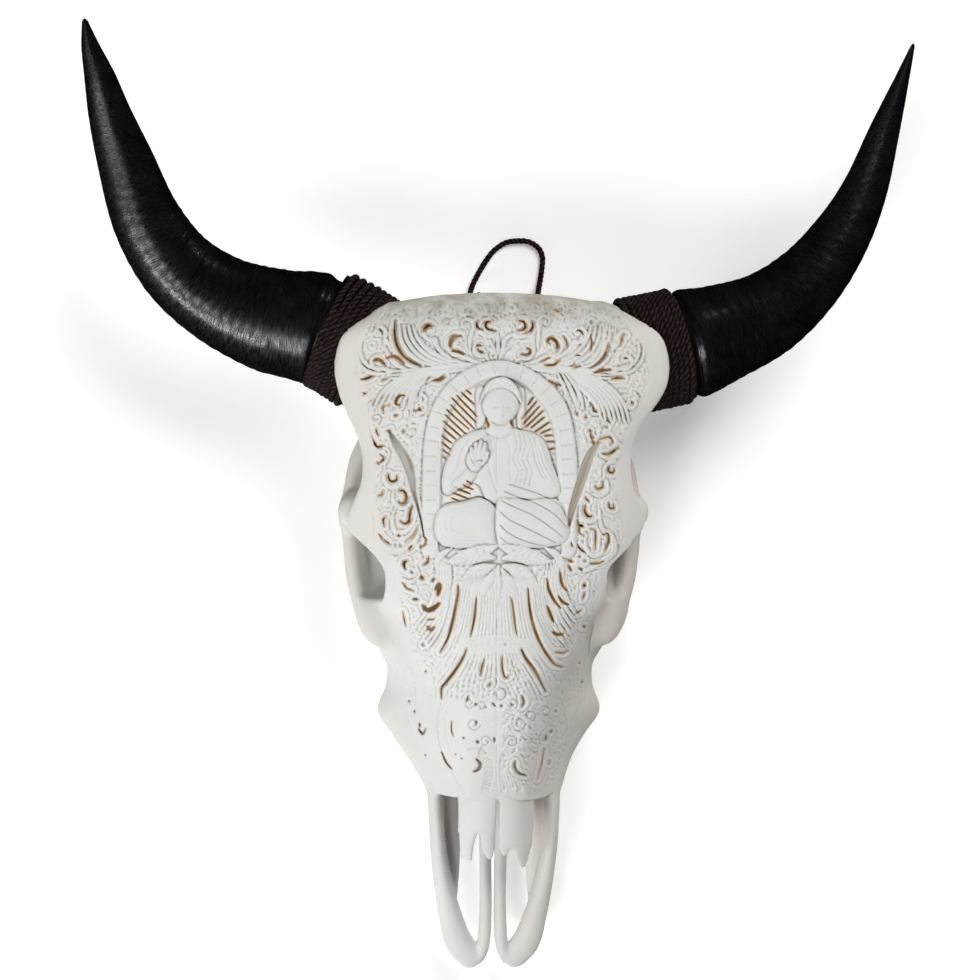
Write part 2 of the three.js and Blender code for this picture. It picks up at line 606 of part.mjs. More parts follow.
const raised = RAISED.map(([halfWidth, height, ...points]) => ridge(halfWidth, height, points, 6));
const masses = FIGURE_MASSES.map(([x, y, sunk, radii]) => ellipsoid([x, y, faceAt(x, y) - sunk], radii, 8));
const limbs = FIGURE_LIMBS.map(([halfWidth, height, ...points]) => ridge(halfWidth, height, points, 6));
const pierced = joined(PIERCED.map(([halfWidth, ...points]) => slot(halfWidth, points)));

// Cheek teeth: [middle y, half length] from the front back; the row bows outwards
const TEETH = [[-168, 7.4], [-151.4, 8.4], [-133.3, 8.8], [-113.8, 9.8], [-91.8, 11.4], [-67.4, 12.2]];
const ROW_HALF = 7.4; // half the breadth of the row

function toothRing(side, [y, half], z, grow) {
  const p = profileAt(y);
  const x = lean(side * (p[8][0] + p[9][0]) / 2, y);
  const bite = z < 6 ? 0.9 : 1;
  const outline = [
    [1, 0.6], [0.84, 0], [1, -0.6], [0.6, -1], [-0.6, -1], [-1, -0.6], [-1, 0.6], [-0.6, 1], [0.6, 1],
  ];
  return outline.map(([u, v]) => [
    x + side * u * (ROW_HALF * bite + grow),
    y + v * (half * (z < 6 ? 0.97 : 1) + grow),
    z,
  ]);
}

function tooth(side, place) {
  return loft([CROWN_BOTTOM, 6, ROOT_TOP].map((z) => toothRing(side, place, z, 0)));
}
function toothSocket(side, place) {
  return loft([6, ROOT_TOP + FIT].map((z) => toothRing(side, place, z, FIT)));
}
const sockets = joined(TEETH.flatMap((place) => [toothSocket(-1, place), toothSocket(1, place)]));

// Hanging cord: from one hole in the back of the poll down to the surface, round, and back up
const CORD_WAY = [
  [-10, 150, 128], [-10, 156, 121], [-10, 161, 113], [-10, 164.4, 104.5], [-10.1, 166.4, 95],
  [-10.4, 167.4, 82], [-10.9, 168.2, 64], [-11.5, 168.8, 44], [-12, 169.8, 27], [-12.2, 172.8, 13.5],
  [-11.2, 178.4, 5.6], [-8.4, 185.6, 2.7], [0.1, 200.7, 2.4], [7, 209.9, 2.4], [16.7, 216.5, 2.4],
  [25.8, 218, 2.4], [35.5, 217.2, 2.4], [42.9, 212.2, 2.4], [45.9, 205.1, 2.4], [45.5, 196.4, 2.4],
  [44.1, 186.8, 2.8], [42.6, 179.4, 6], [41.2, 172.8, 14], [40, 169.6, 27], [39, 168.2, 44],
  [38, 167.4, 64], [37, 166.4, 82], [36.4, 165, 95], [36, 162.6, 104.5], [36, 159.4, 113],
  [36, 154.5, 121], [36, 148.5, 128],
];
const CORD_HOLES = [
  [[-10, 147.5, 130.5], [-10, 156, 121], [-10, 161, 113], [-10, 164.4, 104.5], [-10, 167, 92]],
  [[36, 146, 130.5], [36, 154.5, 121], [36, 159.4, 113], [36, 162.6, 104.5], [36.2, 165.6, 92]],
];

const cordCurve = new THREE.CatmullRomCurve3(CORD_WAY.map((p) => new THREE.Vector3(...p)), false, "centripetal");
const cordRound = new THREE.Shape(Array.from({ length: CORD_SIDES }, (unused, i) => {
  const angle = (2 * Math.PI * i) / CORD_SIDES;
  const radius = CORD_DIAMETER / 2;
  return new THREE.Vector2(radius * Math.cos(angle), radius * Math.sin(angle));
}));
const cord = fromGeometry(new THREE.ExtrudeGeometry(cordRound, {
  steps: 32,
  bevelEnabled: false,
  extrudePath: cordCurve,
}));
const cordHoles = joined(CORD_HOLES.map((points) => limb(
  points,
  [[2.7, 2.7], [2.7, 2.7], [2.7, 2.7], [3, 3], [3.8, 3.8]],
  { sides: 12, steps: 1 },
)));

// Put the bone together
bone = joined([bone, arches, bars, condyles, skullBase, bullae, hooks]);
bone = bone.subtract(horn.left.room).subtract(horn.right.room);
bone = bone.add(horn.left.boss).add(horn.right.boss);
bone = bone.subtract(throat).subtract(hollow);
bone = joined([bone, frontJaw, rods, nasals, horn.left.core, horn.right.core, ...raised, ...masses, ...limbs]);
bone = bone.subtract(pierced).subtract(sockets).subtract(cordHoles);
bone = bone.subtract(block([-200, -400, -40], [200, 300, 0]));

// Finished pieces
const group = new THREE.Group();
group.name = "carved_buffalo_skull";

function piece(name, body, colour, roughness) {
  const mesh = body.getMesh();
  const geometry = new THREE.BufferGeometry();
  geometry.setAttribute("position", new THREE.BufferAttribute(new Float32Array(mesh.vertProperties), 3));
  geometry.setIndex(new THREE.BufferAttribute(new Uint32Array(mesh.triVerts), 1));
  geometry.computeVertexNormals();
  const look = new THREE.MeshStandardMaterial({ color: colour, roughness, metalness: 0 });
  const shown = new THREE.Mesh(geometry, look);
  shown.name = name;
  group.add(shown);
}

piece("skull", bone, 0xe9e4d8, 0.7);
piece("horn_left", horn.left.sheath, 0x17181a, 0.25);
piece("horn_right", horn.right.sheath, 0x17181a, 0.25);
piece("rope_wrap_left", horn.left.wrap, 0x2a1c14, 0.85);
piece("rope_wrap_right", horn.right.wrap, 0x2a1c14, 0.85);
piece("hanging_cord", cord, 0x2c1e15, 0.85);
TEETH.forEach((place, i) => {
  piece(`tooth_left_${i + 1}`, tooth(-1, place), 0xd9cba8, 0.45);
  piece(`tooth_right_${i + 1}`, tooth(1, place), 0xd9cba8, 0.45);
});

export default group;
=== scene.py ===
import json
import math

import bpy
import numpy as np
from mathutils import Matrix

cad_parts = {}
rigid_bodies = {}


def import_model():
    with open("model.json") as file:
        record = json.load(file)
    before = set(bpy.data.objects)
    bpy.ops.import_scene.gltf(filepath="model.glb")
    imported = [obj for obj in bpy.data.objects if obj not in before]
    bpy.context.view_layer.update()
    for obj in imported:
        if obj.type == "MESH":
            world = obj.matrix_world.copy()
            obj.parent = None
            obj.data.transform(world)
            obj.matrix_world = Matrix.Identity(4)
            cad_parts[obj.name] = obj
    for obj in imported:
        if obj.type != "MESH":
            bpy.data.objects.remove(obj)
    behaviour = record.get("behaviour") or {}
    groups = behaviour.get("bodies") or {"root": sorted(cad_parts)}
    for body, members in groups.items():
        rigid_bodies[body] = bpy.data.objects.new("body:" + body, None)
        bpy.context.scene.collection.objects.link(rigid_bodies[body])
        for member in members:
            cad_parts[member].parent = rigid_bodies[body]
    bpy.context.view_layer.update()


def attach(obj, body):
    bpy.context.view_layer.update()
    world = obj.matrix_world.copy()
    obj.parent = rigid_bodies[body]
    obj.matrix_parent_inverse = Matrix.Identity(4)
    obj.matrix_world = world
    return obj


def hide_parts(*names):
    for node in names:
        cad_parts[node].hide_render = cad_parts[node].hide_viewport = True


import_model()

import openvdb
from mathutils import Matrix, Vector

# Lengths are millimetres until a mesh is made. +X right, +Y towards the poll, +Z up out of the face.
MM = 0.001
BODY_STEP = 1.6  # grid of the whole bone
FACE_STEP = 0.58  # grid of the carved face
LEVEL_STEP = 1.1  # grid of its heights
FACE_LOW, FACE_HIGH = (-118, -214), (124, 160)  # reach of that grid
OPEN_LOW, OPEN_HIGH = (-126, -218), (130, 164)  # part of the whole bone's grid under the carved face
FLARE = 0.17  # the walls of the openings close in by this much of their depth
CARVED = 5.5  # thickness of the carved sheet
FACE_SPLIT_X, FACE_SPLIT_Y = 4.5, (-70, 40)  # where the sheet is parted into six pieces
SHEET_SEAT = 4.1  # the body lies this far under the plain face where the sheet covers it
OPENING_DEPTH = 16  # openings are cut this far down into the body
ON_WALL = 1.9  # points this near to the hollow's edge are on its wall
DEEPEST = 12  # the painted shade on the opening walls grows no darker below this depth
PLATE = 7.0  # bone left over the hollow

BASE_RADIUS = 39.6  # horn and boss under the wound cord
WRAP_TURNS = 8
WRAP_FROM = -2.0  # the cord starts here, measured from the first point of the horn's line
WRAP_CORD = 4.3
CORD_DIAMETER = 4.4
PLIES = 3  # strands of every cord
FIT = 0.3

# Camera: straight over the face, leaning a little to the picture's left
AIM = (-3.5, 20.0, 120.0)
LEAN = math.radians(3.7)
REACH = 1600.0
STEP = 0.74  # one step of the drawing, in millimetres at the aim's height
PICTURE = 980  # steps across the picture
CENTRE = PICTURE / 2
SENSOR = 36


def seen(x, y, z):
    """Steps right and down at which a point shows to the camera."""
    side = (x - AIM[0]) * math.cos(LEAN) + (z - AIM[2]) * math.sin(LEAN)
    near = 1 - ((z - AIM[2]) * math.cos(LEAN) - (x - AIM[0]) * math.sin(LEAN)) / REACH
    return CENTRE + side / (STEP * near), CENTRE - (y - AIM[1]) / (STEP * near)


def put_camera():
    data = bpy.data.cameras.new("camera")
    data.lens = SENSOR * REACH / (PICTURE * STEP)
    data.sensor_width = SENSOR
    data.clip_start = 0.05
    data.clip_end = 20
    camera = bpy.data.objects.new("camera", data)
    bpy.context.scene.collection.objects.link(camera)
    across = Vector((math.cos(LEAN), 0, math.sin(LEAN)))
    away = Vector((-math.sin(LEAN), 0, math.cos(LEAN)))
    camera.location = (Vector(AIM) + away * REACH) * MM
    camera.rotation_euler = Matrix((across, (0, 1, 0), away)).transposed().to_euler()
    bpy.context.scene.camera = camera


put_camera()


# Curves
def smooth(t):
    c = np.clip(t, 0, 1)
    return c * c * (3 - 2 * c)


def spans(points, count):
    """Centripetal curve through the points, count samples for each span."""
    p = np.asarray(points, float)
    if len(p) == 2:
        t = np.linspace(0, 1, count + 1)[:, None]
        return p[0] + (p[1] - p[0]) * t
    p = np.vstack([2 * p[0] - p[1], p, 2 * p[-1] - p[-2]])
    out = []
    for i in range(1, len(p) - 2):
        x0, x1, x2, x3 = p[i - 1: i + 3]
        d0, d1, d2 = (max(math.sqrt(np.linalg.norm(b - a)), 1e-4) for a, b in ((x0, x1), (x1, x2), (x2, x3)))
        t1 = ((x1 - x0) / d0 - (x2 - x0) / (d0 + d1) + (x2 - x1) / d1) * d1
        t2 = ((x2 - x1) / d1 - (x3 - x1) / (d1 + d2) + (x3 - x2) / d2) * d1
        last = i == len(p) - 3
        t = np.linspace(0, 1, count + 1)[:None if last else -1, None]
        out.append(x1 + t1 * t + (-3 * x1 + 3 * x2 - 2 * t1 - t2) * t * t
                + (2 * x1 - 2 * x2 + t1 + t2) * t ** 3)
    return np.vstack(out)


def walked(line):
    return np.concatenate([[0], np.cumsum(np.linalg.norm(np.diff(line, axis=0), axis=1))])


def even(line, step):
    s = walked(line)
    count = max(2, int(round(s[-1] / step)) + 1)
    at = np.linspace(0, s[-1], count)
    return np.stack([np.interp(at, s, line[:, k]) for k in range(line.shape[1])], axis=1)


def curve(points, step=1.5):
    return even(spans(points, 10), step)


def unit(v):
    return v / np.maximum(np.linalg.norm(v, axis=-1, keepdims=True), 1e-9)


# Hanging cord: from one hole in the back of the poll down to the surface, round, and back up
CORD_WAY = [
    (-10, 150, 128), (-10, 156, 121), (-10, 161, 113), (-10, 164.4, 104.5), (-10.1, 166.4, 95),
    (-10.4, 167.4, 82), (-10.9, 168.2, 64), (-11.5, 168.8, 44), (-12, 169.8, 27), (-12.2, 172.8, 13.5),
    (-11.2, 178.4, 5.6), (-8.4, 185.6, 2.7), (0.1, 200.7, 2.4), (7, 209.9, 2.4), (16.7, 216.5, 2.4),
    (25.8, 218, 2.4), (35.5, 217.2, 2.4), (42.9, 212.2, 2.4), (45.9, 205.1, 2.4), (45.5, 196.4, 2.4),
    (44.1, 186.8, 2.8), (42.6, 179.4, 6), (41.2, 172.8, 14), (40, 169.6, 27), (39, 168.2, 44),
    (38, 167.4, 64), (37, 166.4, 82), (36.4, 165, 95), (36, 162.6, 104.5), (36, 159.4, 113),
    (36, 154.5, 121), (36, 148.5, 128),
]
CORD_HOLES = [
    [(-10, 147.5, 130.5), (-10, 156, 121), (-10, 161, 113), (-10, 164.4, 104.5), (-10, 167, 92)],
    [(36, 146, 130.5), (36, 154.5, 121), (36, 159.4, 113), (36, 162.6, 104.5), (36.2, 165.6, 92)],
]


def frames(line):
    """Untwisted frames along a line: tangent and two square directions."""
    along = unit(np.gradient(line, axis=0))
    across = np.zeros_like(line)
    seed = np.array([0.0, 0.0, 1.0]) if abs(along[0][2]) < 0.9 else np.array([1.0, 0.0, 0.0])
    across[0] = unit(np.cross(along[0], seed))
    for i in range(1, len(line)):
        a = across[i - 1] - along[i] * np.dot(across[i - 1], along[i])
        across[i] = a / np.linalg.norm(a)
    return along, across, np.cross(along, across)


def around(point, across, over, r, angle):
    """Rings of points round a line, at a radius and an angle."""
    return (point[:, None] + across[:, None] * (r * np.cos(angle))[..., None]
            + over[:, None] * (r * np.sin(angle))[..., None])


def ply(angle, turn, depth):
    """Radius of a twisted cord round its section, 1 at the ridge of a strand."""
    return 1 - depth * (1 - np.abs(np.cos(0.5 * PLIES * (angle - turn))) ** 0.7)


def twisted(line, radius, sides, lay, depth=0.3, wander=0.0, seed=1, taper=6.0):
    """Mesh of a twisted cord along an even line; lay is the length of one turn of its strands."""
    _, across, over = frames(line)
    s = walked(line)
    rng = np.random.default_rng(seed)
    kinks = max(4, int(s[-1] / 7))
    soft = np.interp(s, np.linspace(0, s[-1], kinks), rng.normal(0, 1, kinks))
    angle = np.linspace(0, 2 * np.pi, sides, endpoint=False)
    turn = 2 * np.pi * s / lay + 0.25 * soft
    r = radius * ply(angle[None, :], turn[:, None], depth) * (1 + wander * soft[:, None])
    ends = np.sqrt(np.clip(np.minimum(s, s[-1] - s) / taper, 0.12, 1))
    r = r * ends[:, None]
    points = around(line, across, over, r, angle)
    run = np.broadcast_to(s[:, None], r.shape).ravel()
    about = ((angle[None, :] - turn[:, None]) * radius).ravel()
    ridge = np.abs(np.cos(0.5 * PLIES * (angle[None, :] - turn[:, None]))).ravel()
    return tube_faces(points), {"run": np.append(run, (0, s[-1])), "about": np.append(about, (0, 0)),
                                "ridge": np.append(ridge, (0.3, 0.3))}


def tube_faces(points):
    """Quads round rings of points, closed at both ends with a fan."""
    rings, sides = points.shape[:2]
    i = np.arange(sides)
    j = (i + 1) % sides
    quads = np.vstack([np.stack([r * sides + i, r * sides + j, (r + 1) * sides + j, (r + 1) * sides + i],
                       axis=1) for r in range(rings - 1)])
    verts = np.vstack([points.reshape(-1, 3), points[0].mean(0), points[-1].mean(0)])
    a, b = len(verts) - 2, len(verts) - 1
    end = (rings - 1) * sides
    tris = np.vstack([np.stack([j, i, np.full(sides, a)], axis=1),
                      np.stack([end + i, end + j, np.full(sides, b)], axis=1)])
    return verts, quads, tris


def make_mesh(name, verts, quads, tris=None, values=None, normals=None, flip=False):
    """Smooth mesh object in metres from arrays in millimetres."""
    quads = np.asarray(quads, np.int64).reshape(-1, 4)
    tris = np.zeros((0, 3), np.int64) if tris is None else np.asarray(tris, np.int64).reshape(-1, 3)
    if flip:
        quads, tris = quads[:, ::-1], tris[:, ::-1]
    mesh = bpy.data.meshes.new(name)
    mesh.vertices.add(len(verts))
    mesh.vertices.foreach_set("co", (np.asarray(verts) * MM).astype(np.float32).ravel())
    corners = np.concatenate([quads.ravel(), tris.ravel()]).astype(np.int32)
    mesh.loops.add(len(corners))
    mesh.loops.foreach_set("vertex_index", corners)
    starts = np.concatenate([np.arange(len(quads)) * 4, len(quads) * 4
            + np.arange(len(tris)) * 3]).astype(np.int32)
    mesh.polygons.add(len(starts))
    mesh.polygons.foreach_set("loop_start", starts)
    mesh.polygons.foreach_set("use_smooth", np.ones(len(starts), bool))
    for key, data in (values or {}).items():
        layer = mesh.attributes.new(key, "FLOAT", "POINT")
        layer.data.foreach_set("value", np.asarray(data, np.float32))
    mesh.update(calc_edges=True)
    mesh.validate()
    if normals is not None:
        mesh.normals_split_custom_set_from_vertices(normals.astype(np.float32))
    piece = bpy.data.objects.new(name, mesh)
    bpy.context.scene.collection.objects.link(piece)
    return piece


def hanging_cord():
    line = curve(CORD_WAY, 1.0)
    (verts, quads, tris), values = twisted(line, CORD_DIAMETER / 2 * 1.06, 18, 11, wander=0.02, seed=3,
            taper=1.0)
    verts[:, 2] = np.maximum(verts[:, 2], 0.15)
    piece = make_mesh("cord_loop", verts, quads, tris, values)
    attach(piece, "root")
    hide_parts("hanging_cord")
    path = even(line, 3.0) * MM
    walked(line)[-1] * MM
    return piece


cord_piece = hanging_cord()

# Half outlines of the bone across the skull, from the face's middle line round to the palate's
PROFILE = [
    (166, [(0, 136), (30, 136), (58, 133), (76, 128), (83, 122), (80, 114), (60, 108), (50, 106), (40, 106),
           (20, 106), (0, 106)]),
    (162, [(0, 146), (35, 145.5), (65, 142), (86, 136), (92, 126), (90, 112), (72, 102), (58, 99), (45, 98),
           (22, 98), (0, 98)]),
    (154, [(0, 151), (40, 150), (75, 147.5), (96, 143), (105, 135), (100, 106), (80, 92), (68, 88), (55, 85),
           (28, 84), (0, 84)]),
    (144, [(0, 155), (42, 154), (80, 152), (102, 148.5), (112, 141), (106, 100), (84, 82), (66, 66), (40, 52),
           (20, 51), (0, 50)]),
    (126, [(0, 159), (45, 158), (84, 156.5), (108, 153), (119, 147), (112, 108), (84, 80), (68, 62), (44, 46),
           (22, 43), (0, 42)]),
    (108, [(0, 162), (46, 161), (86, 159), (111, 154), (121.5, 148), (114, 110), (82, 84), (66, 64), (44, 46),
           (22, 43), (0, 42)]),
    (92, [(0, 164), (46, 163), (86, 160.5), (110, 154), (119, 146), (108, 112), (76, 92), (64, 70), (42, 48),
          (21, 45), (0, 44)]),
    (78, [(0, 166), (46, 165), (84, 161.5), (103, 154.5), (112, 146), (98, 118), (68, 100), (61, 74),
          (40, 50), (20, 47), (0, 46)]),
    (64, [(0, 167), (44, 166), (80, 161.5), (98, 154), (104, 146), (92, 128), (64, 108), (59, 78), (38, 52),
          (19, 49), (0, 48)]),
    (46, [(0, 168), (43, 167), (77, 162), (92, 154), (98.5, 146), (88, 134), (61, 112), (57, 82), (36, 54),
          (18, 51), (0, 50)]),
    (26, [(0, 168), (42, 167), (76, 162), (92, 155), (99, 147), (88, 135), (58, 114), (54, 84), (34, 56),
          (17, 53), (0, 52)]),
    (10, [(0, 167), (42, 166), (78, 160), (97, 151), (105, 142), (94, 130), (56, 112), (52, 84), (32, 56),
          (16, 53), (0, 52)]),
    (-2, [(0, 166), (42, 165), (80, 158), (101, 146), (110, 136), (96, 124), (56, 108), (50, 82), (30, 54),
          (15, 51), (0, 50)]),
    (-19, [(0, 163), (40, 162), (74, 156), (94, 147), (102, 138), (88, 126), (50, 106), (46, 78), (30, 50),
           (15, 47), (0, 46)]),
    (-39, [(0, 159), (36, 158), (64, 152), (77, 146), (84, 139), (78, 126), (52, 104), (50, 70), (38, 42),
           (19, 39), (0, 38)]),
    (-50, [(0, 157), (34, 155.5), (60, 150), (75, 142), (84, 132), (82, 113), (68, 90), (58, 58), (52, 22),
           (31, 24), (0, 34)]),
    (-62, [(0, 154.5), (31, 152.5), (54, 146), (71, 136), (82, 123), (84, 98), (80, 76), (63, 46), (56, 18),
           (36, 19), (0, 32)]),
    (-79, [(0, 149), (28, 146.5), (48, 137), (66, 120), (80, 92), (79, 78), (66, 60), (60, 36), (57, 18),
           (36, 18), (0, 34)]),
    (-104, [(0, 140), (25, 137), (43, 126), (60, 106), (78, 76), (77, 66), (62, 52), (57, 34), (55, 17),
            (34, 17), (0, 33)]),
    (-129, [(0, 130.5), (23, 127.5), (38, 115), (55, 92), (78, 64), (79, 56), (60, 46), (54, 32), (52, 17),
            (31, 17), (0, 32)]),
    (-150, [(0, 124), (22, 121), (35, 108), (52, 84), (83, 60), (85, 50), (60, 42), (52, 30), (50, 17),
            (29, 17), (0, 32)]),
    (-168, [(0, 118), (21.5, 115), (34, 101), (49, 78), (72, 58), (74, 48), (56, 40), (50, 28), (48, 17),
            (27, 17), (0, 32)]),
    (-187, [(0, 109), (21, 106), (33, 92), (46, 72), (61, 54), (63, 44), (50, 36), (46, 26), (45, 19),
            (26, 20), (0, 32)]),
    (-212, [(0, 99), (20.5, 96), (31, 84), (44, 66), (52, 50), (51, 42), (46, 34), (42, 27), (40, 22),
            (24, 24), (0, 33)]),
]
STATIONS = np.array([row[0] for row in PROFILE], float)
OUTLINES = np.array([row[1] for row in PROFILE], float)


def lean(x, y):
    """The real skull is not quite even: broader on the right at the back, and its nose leans right."""
    return x * (1 + 0.035 * np.sign(x) * smooth((y - 60) / 40)) + 4 * smooth((-170 - y) / 45)


def arched(x, y):
    """Seen from above, the poll is a low arch."""
    return y - 9 * (np.abs(x) / 85) ** 1.6 * smooth((y - 126) / 40)


def profile_at(y):
    y = min(STATIONS[0], max(STATIONS[-1], y))
    i = int(np.clip(np.searchsorted(-STATIONS, -y, side="right") - 1, 0, len(STATIONS) - 2))
    a, b = OUTLINES[i], OUTLINES[i + 1]
    h = STATIONS[i + 1] - STATIONS[i]
    t = (y - STATIONS[i]) / h
    m0 = m1 = (b - a) / h
    if i > 0:
        m0 = 0.5 * (m0 + (a - OUTLINES[i - 1]) / (STATIONS[i] - STATIONS[i - 1]))
    if i < len(STATIONS) - 2:
        m1 = 0.5 * (m1 + (OUTLINES[i + 2] - b) / (STATIONS[i + 2] - STATIONS[i + 1]))
    return ((2 * t ** 3 - 3 * t * t + 1) * a + (t ** 3 - 2 * t * t + t) * h * m0
            + (3 * t * t - 2 * t ** 3) * b + (t ** 3 - t * t) * h * m1)


def outline_at(y):
    """Rounded half outline, (x, z), from the face's middle to the palate's."""
    p = profile_at(y)
    ghost = np.vstack([p[1] * (-1, 1), p, p[-2] * (-1, 1)])
    line = spans(ghost, 7)
    return line[7:-7]


def face_height(xs, ys):
    """Height of the plain face over a grid of x and y."""
    rows = np.arange(ys[0], STATIONS[0] + 0.5, 1.0)
    out = np.zeros((len(xs), len(rows)), np.float32)
    for j, y in enumerate(rows):
        half = outline_at(y)
        top = half[: int(np.argmax(half[:, 0])) + 1]
        right = lean(top[:, 0], y)
        left = lean(-top[:, 0], y)
        x = np.concatenate([left[::-1], right[1:]])
        z = np.concatenate([top[::-1, 1], top[1:, 1]])
        out[:, j] = np.interp(xs, x, z)
    return np.array([np.interp(ys, arched(x, rows), line) for x, line in zip(xs, out)], np.float32)


# Noise that is the same each time
def lattice(seed, size):
    return np.random.default_rng(seed).uniform(-1, 1, size).astype(np.float32)


def noise2(u, v, scale, seed):
    table = lattice(seed, (64, 64))
    a, b = u / scale, v / scale
    i, j = np.floor(a).astype(int), np.floor(b).astype(int)
    s, t = smooth(a - i), smooth(b - j)
    i, j, k, m = i % 64, j % 64, (i + 1) % 64, (j + 1) % 64
    return ((table[i, j] * (1 - s) + table[k, j] * s) * (1 - t)
            + (table[i, m] * (1 - s) + table[k, m] * s) * t)


# Horn centre lines from the bone's edge to the tip, each point with its radius
HORNS = {
    "left": [
        (-90.6, 117.9, 101, BASE_RADIUS), (-124.7, 138.2, 98, BASE_RADIUS), (-164.8, 146.5, 96, 40),
        (-201.8, 161.2, 96, 34.5), (-232.5, 183.7, 101, 30.4), (-255.1, 217, 112, 26.4),
        (-270.3, 260.2, 127, 21.2), (-279.7, 290.6, 141, 16.2), (-285.5, 314.9, 153, 12),
        (-291.4, 336.4, 163, 7), (-294.6, 353.9, 171, 2.2),
    ],
    "right": [
        (100.5, 119.4, 101, BASE_RADIUS), (142.4, 128.6, 98, BASE_RADIUS), (173, 138.4, 96, 37.8),
        (208.3, 153.7, 96, 33), (239.5, 180, 101, 27.6), (261.9, 211.5, 111, 22.6),
        (276.5, 243.8, 123, 17.6), (287.9, 286.2, 139, 11.8), (297, 320.6, 153, 6),
        (303.1, 345.6, 164, 1.8),
    ],
}


class HornLine:
    """Centre line of a horn with untwisted frames, walked from the bone's edge."""

    def __init__(self, points):
        raw = spans([p[:3] for p in points], 16)
        radii = np.interp(np.linspace(0, len(points) - 1, len(raw)), range(len(points)),
                [p[3] for p in points])
        self.s = walked(raw)
        self.line = raw
        self.radii = radii
        along = unit(np.gradient(raw, axis=0))
        across = np.zeros_like(raw)
        across[0] = unit(np.cross(along[0], (0, 0, 1)))
        for i in range(1, len(raw)):
            across[i] = unit(across[i - 1] - along[i] * np.dot(across[i - 1], along[i]))
        self.along, self.across = along, across
        self.length = self.s[-1]
        self.wrap_end = float(np.linalg.norm(np.subtract(points[0][:3], points[1][:3]))) + 1
        self.wrap_start = self.wrap_end - WRAP_TURNS * WRAP_CORD
        self.seam = self.wrap_start + WRAP_TURNS * WRAP_CORD / 2

    def at(self, s):
        s = np.asarray(s, float)
        inner = np.clip(s, 0, self.length)
        pick = lambda table: np.stack([np.interp(inner, self.s, table[:, k]) for k in range(3)], axis=-1)
        along = unit(pick(self.along))
        point = pick(self.line) + along * np.minimum(s, 0)[..., None]
        across = pick(self.across)
        across = unit(across - along * np.sum(across * along, axis=-1, keepdims=True))
        over = np.cross(across, along)
        return point, along, across, over, np.interp(inner, self.s, self.radii)


LINES = {side: HornLine(points) for side, points in HORNS.items()}


# Solid fields on one grid over the whole bone: below nought is bone
LOW = np.array([-236.0, -362.0, -4.0])
SIZE = np.array([478.0, 546.0, 184.0])
SHAPE = tuple(int(v) for v in np.ceil(SIZE / BODY_STEP))
BAND = 6.0  # grid steps kept each side of a surface
AXES = [(LOW[k] + BODY_STEP * np.arange(SHAPE[k])).astype(np.float32) for k in range(3)]
FAR = np.float32(BAND * BODY_STEP)
LIMB_STEP = 3.0
SOCKET_ROUND = 1.5


def window(low, high):
    cut = []
    for k in range(3):
        a = int(np.clip(math.floor((low[k] - LOW[k]) / BODY_STEP), 0, SHAPE[k]))
        b = int(np.clip(math.ceil((high[k] - LOW[k]) / BODY_STEP) + 1, 0, SHAPE[k]))
        cut.append(slice(a, b))
    cut = tuple(cut)
    x, y, z = (AXES[k][cut[k]] for k in range(3))
    return cut, x[:, None, None], y[None, :, None], z[None, None, :]


def solid(verts, quads, tris):
    """Field of a closed mesh over the whole grid."""
    place = ((verts - LOW) / BODY_STEP).astype(np.float32)
    grid = openvdb.FloatGrid.createLevelSetFromPolygons(
        place, triangles=tris.astype(np.uint32), quads=quads.astype(np.uint32), halfWidth=BAND)
    field = np.zeros(SHAPE, np.float32)
    grid.copyToArray(field, ijk=(0, 0, 0))
    return field * np.float32(BODY_STEP)


def ring_solid(rings):
    return solid(*tube_faces(np.asarray(rings)))


def soft_min(a, b, k):
    h = np.clip(0.5 + 0.5 * (b - a) / k, 0, 1)
    return b * (1 - h) + a * h - k * h * (1 - h)


def ellipsoid_field(x, y, z, at, radii):
    q = ((x - at[0]) / radii[0]) ** 2 + ((y - at[1]) / radii[1]) ** 2 + ((z - at[2]) / radii[2]) ** 2
    return ((np.sqrt(q) - 1) * min(radii)).astype(np.float32)


def put_limb(field, points, radii, blend=3.0, up=(0, 0, 1), cut=False):
    """Joins a tapered limb to the field, or cuts it out; radii are (across, up)."""
    path = even(spans(np.hstack([np.asarray(points, float), np.asarray(radii, float)]), 8), LIMB_STEP)
    for a, b in zip(path[:-1], path[1:]):
        r = np.maximum((a[3:] + b[3:]) / 2, 0.5)
        reach = max(r) + FAR * 0.6 + blend
        w, x, y, z = window(np.minimum(a[:3], b[:3]) - reach, np.maximum(a[:3], b[:3]) + reach)
        along = unit(b[:3] - a[:3])
        across = unit(np.cross(along, up))
        over = np.cross(across, along)
        length = np.linalg.norm(b[:3] - a[:3])
        rel = (x - a[0], y - a[1], z - a[2])
        dot = lambda v: rel[0] * v[0] + rel[1] * v[1] + rel[2] * v[2]
        s = dot(along)
        t = np.clip(s / length, 0, 1)
        wide = a[3] + (b[3] - a[3]) * t
        tall = a[4] + (b[4] - a[4]) * t
        q = np.sqrt((dot(across) / wide) ** 2 + (dot(over) / tall) ** 2 + ((s - t * length) / min(r)) ** 2)
        f = ((q - 1) * min(r)).astype(np.float32)
        if cut:
            field[w] = np.maximum(field[w], -f)
        else:
            field[w] = soft_min(field[w], f, blend) if blend else np.minimum(field[w], f)


def put_ball(field, at, radii, blend=3.0, cut=False):
    w, x, y, z = window(np.subtract(at, radii) - FAR, np.add(at, radii) + FAR)
    f = ellipsoid_field(x, y, z, at, radii)
    if cut:
        field[w] = -soft_min(-field[w], f, blend)
    else:
        field[w] = soft_min(field[w], f, blend)


def leant(points):
    return [(float(lean(x, y)), y, z) for x, y, z in points]


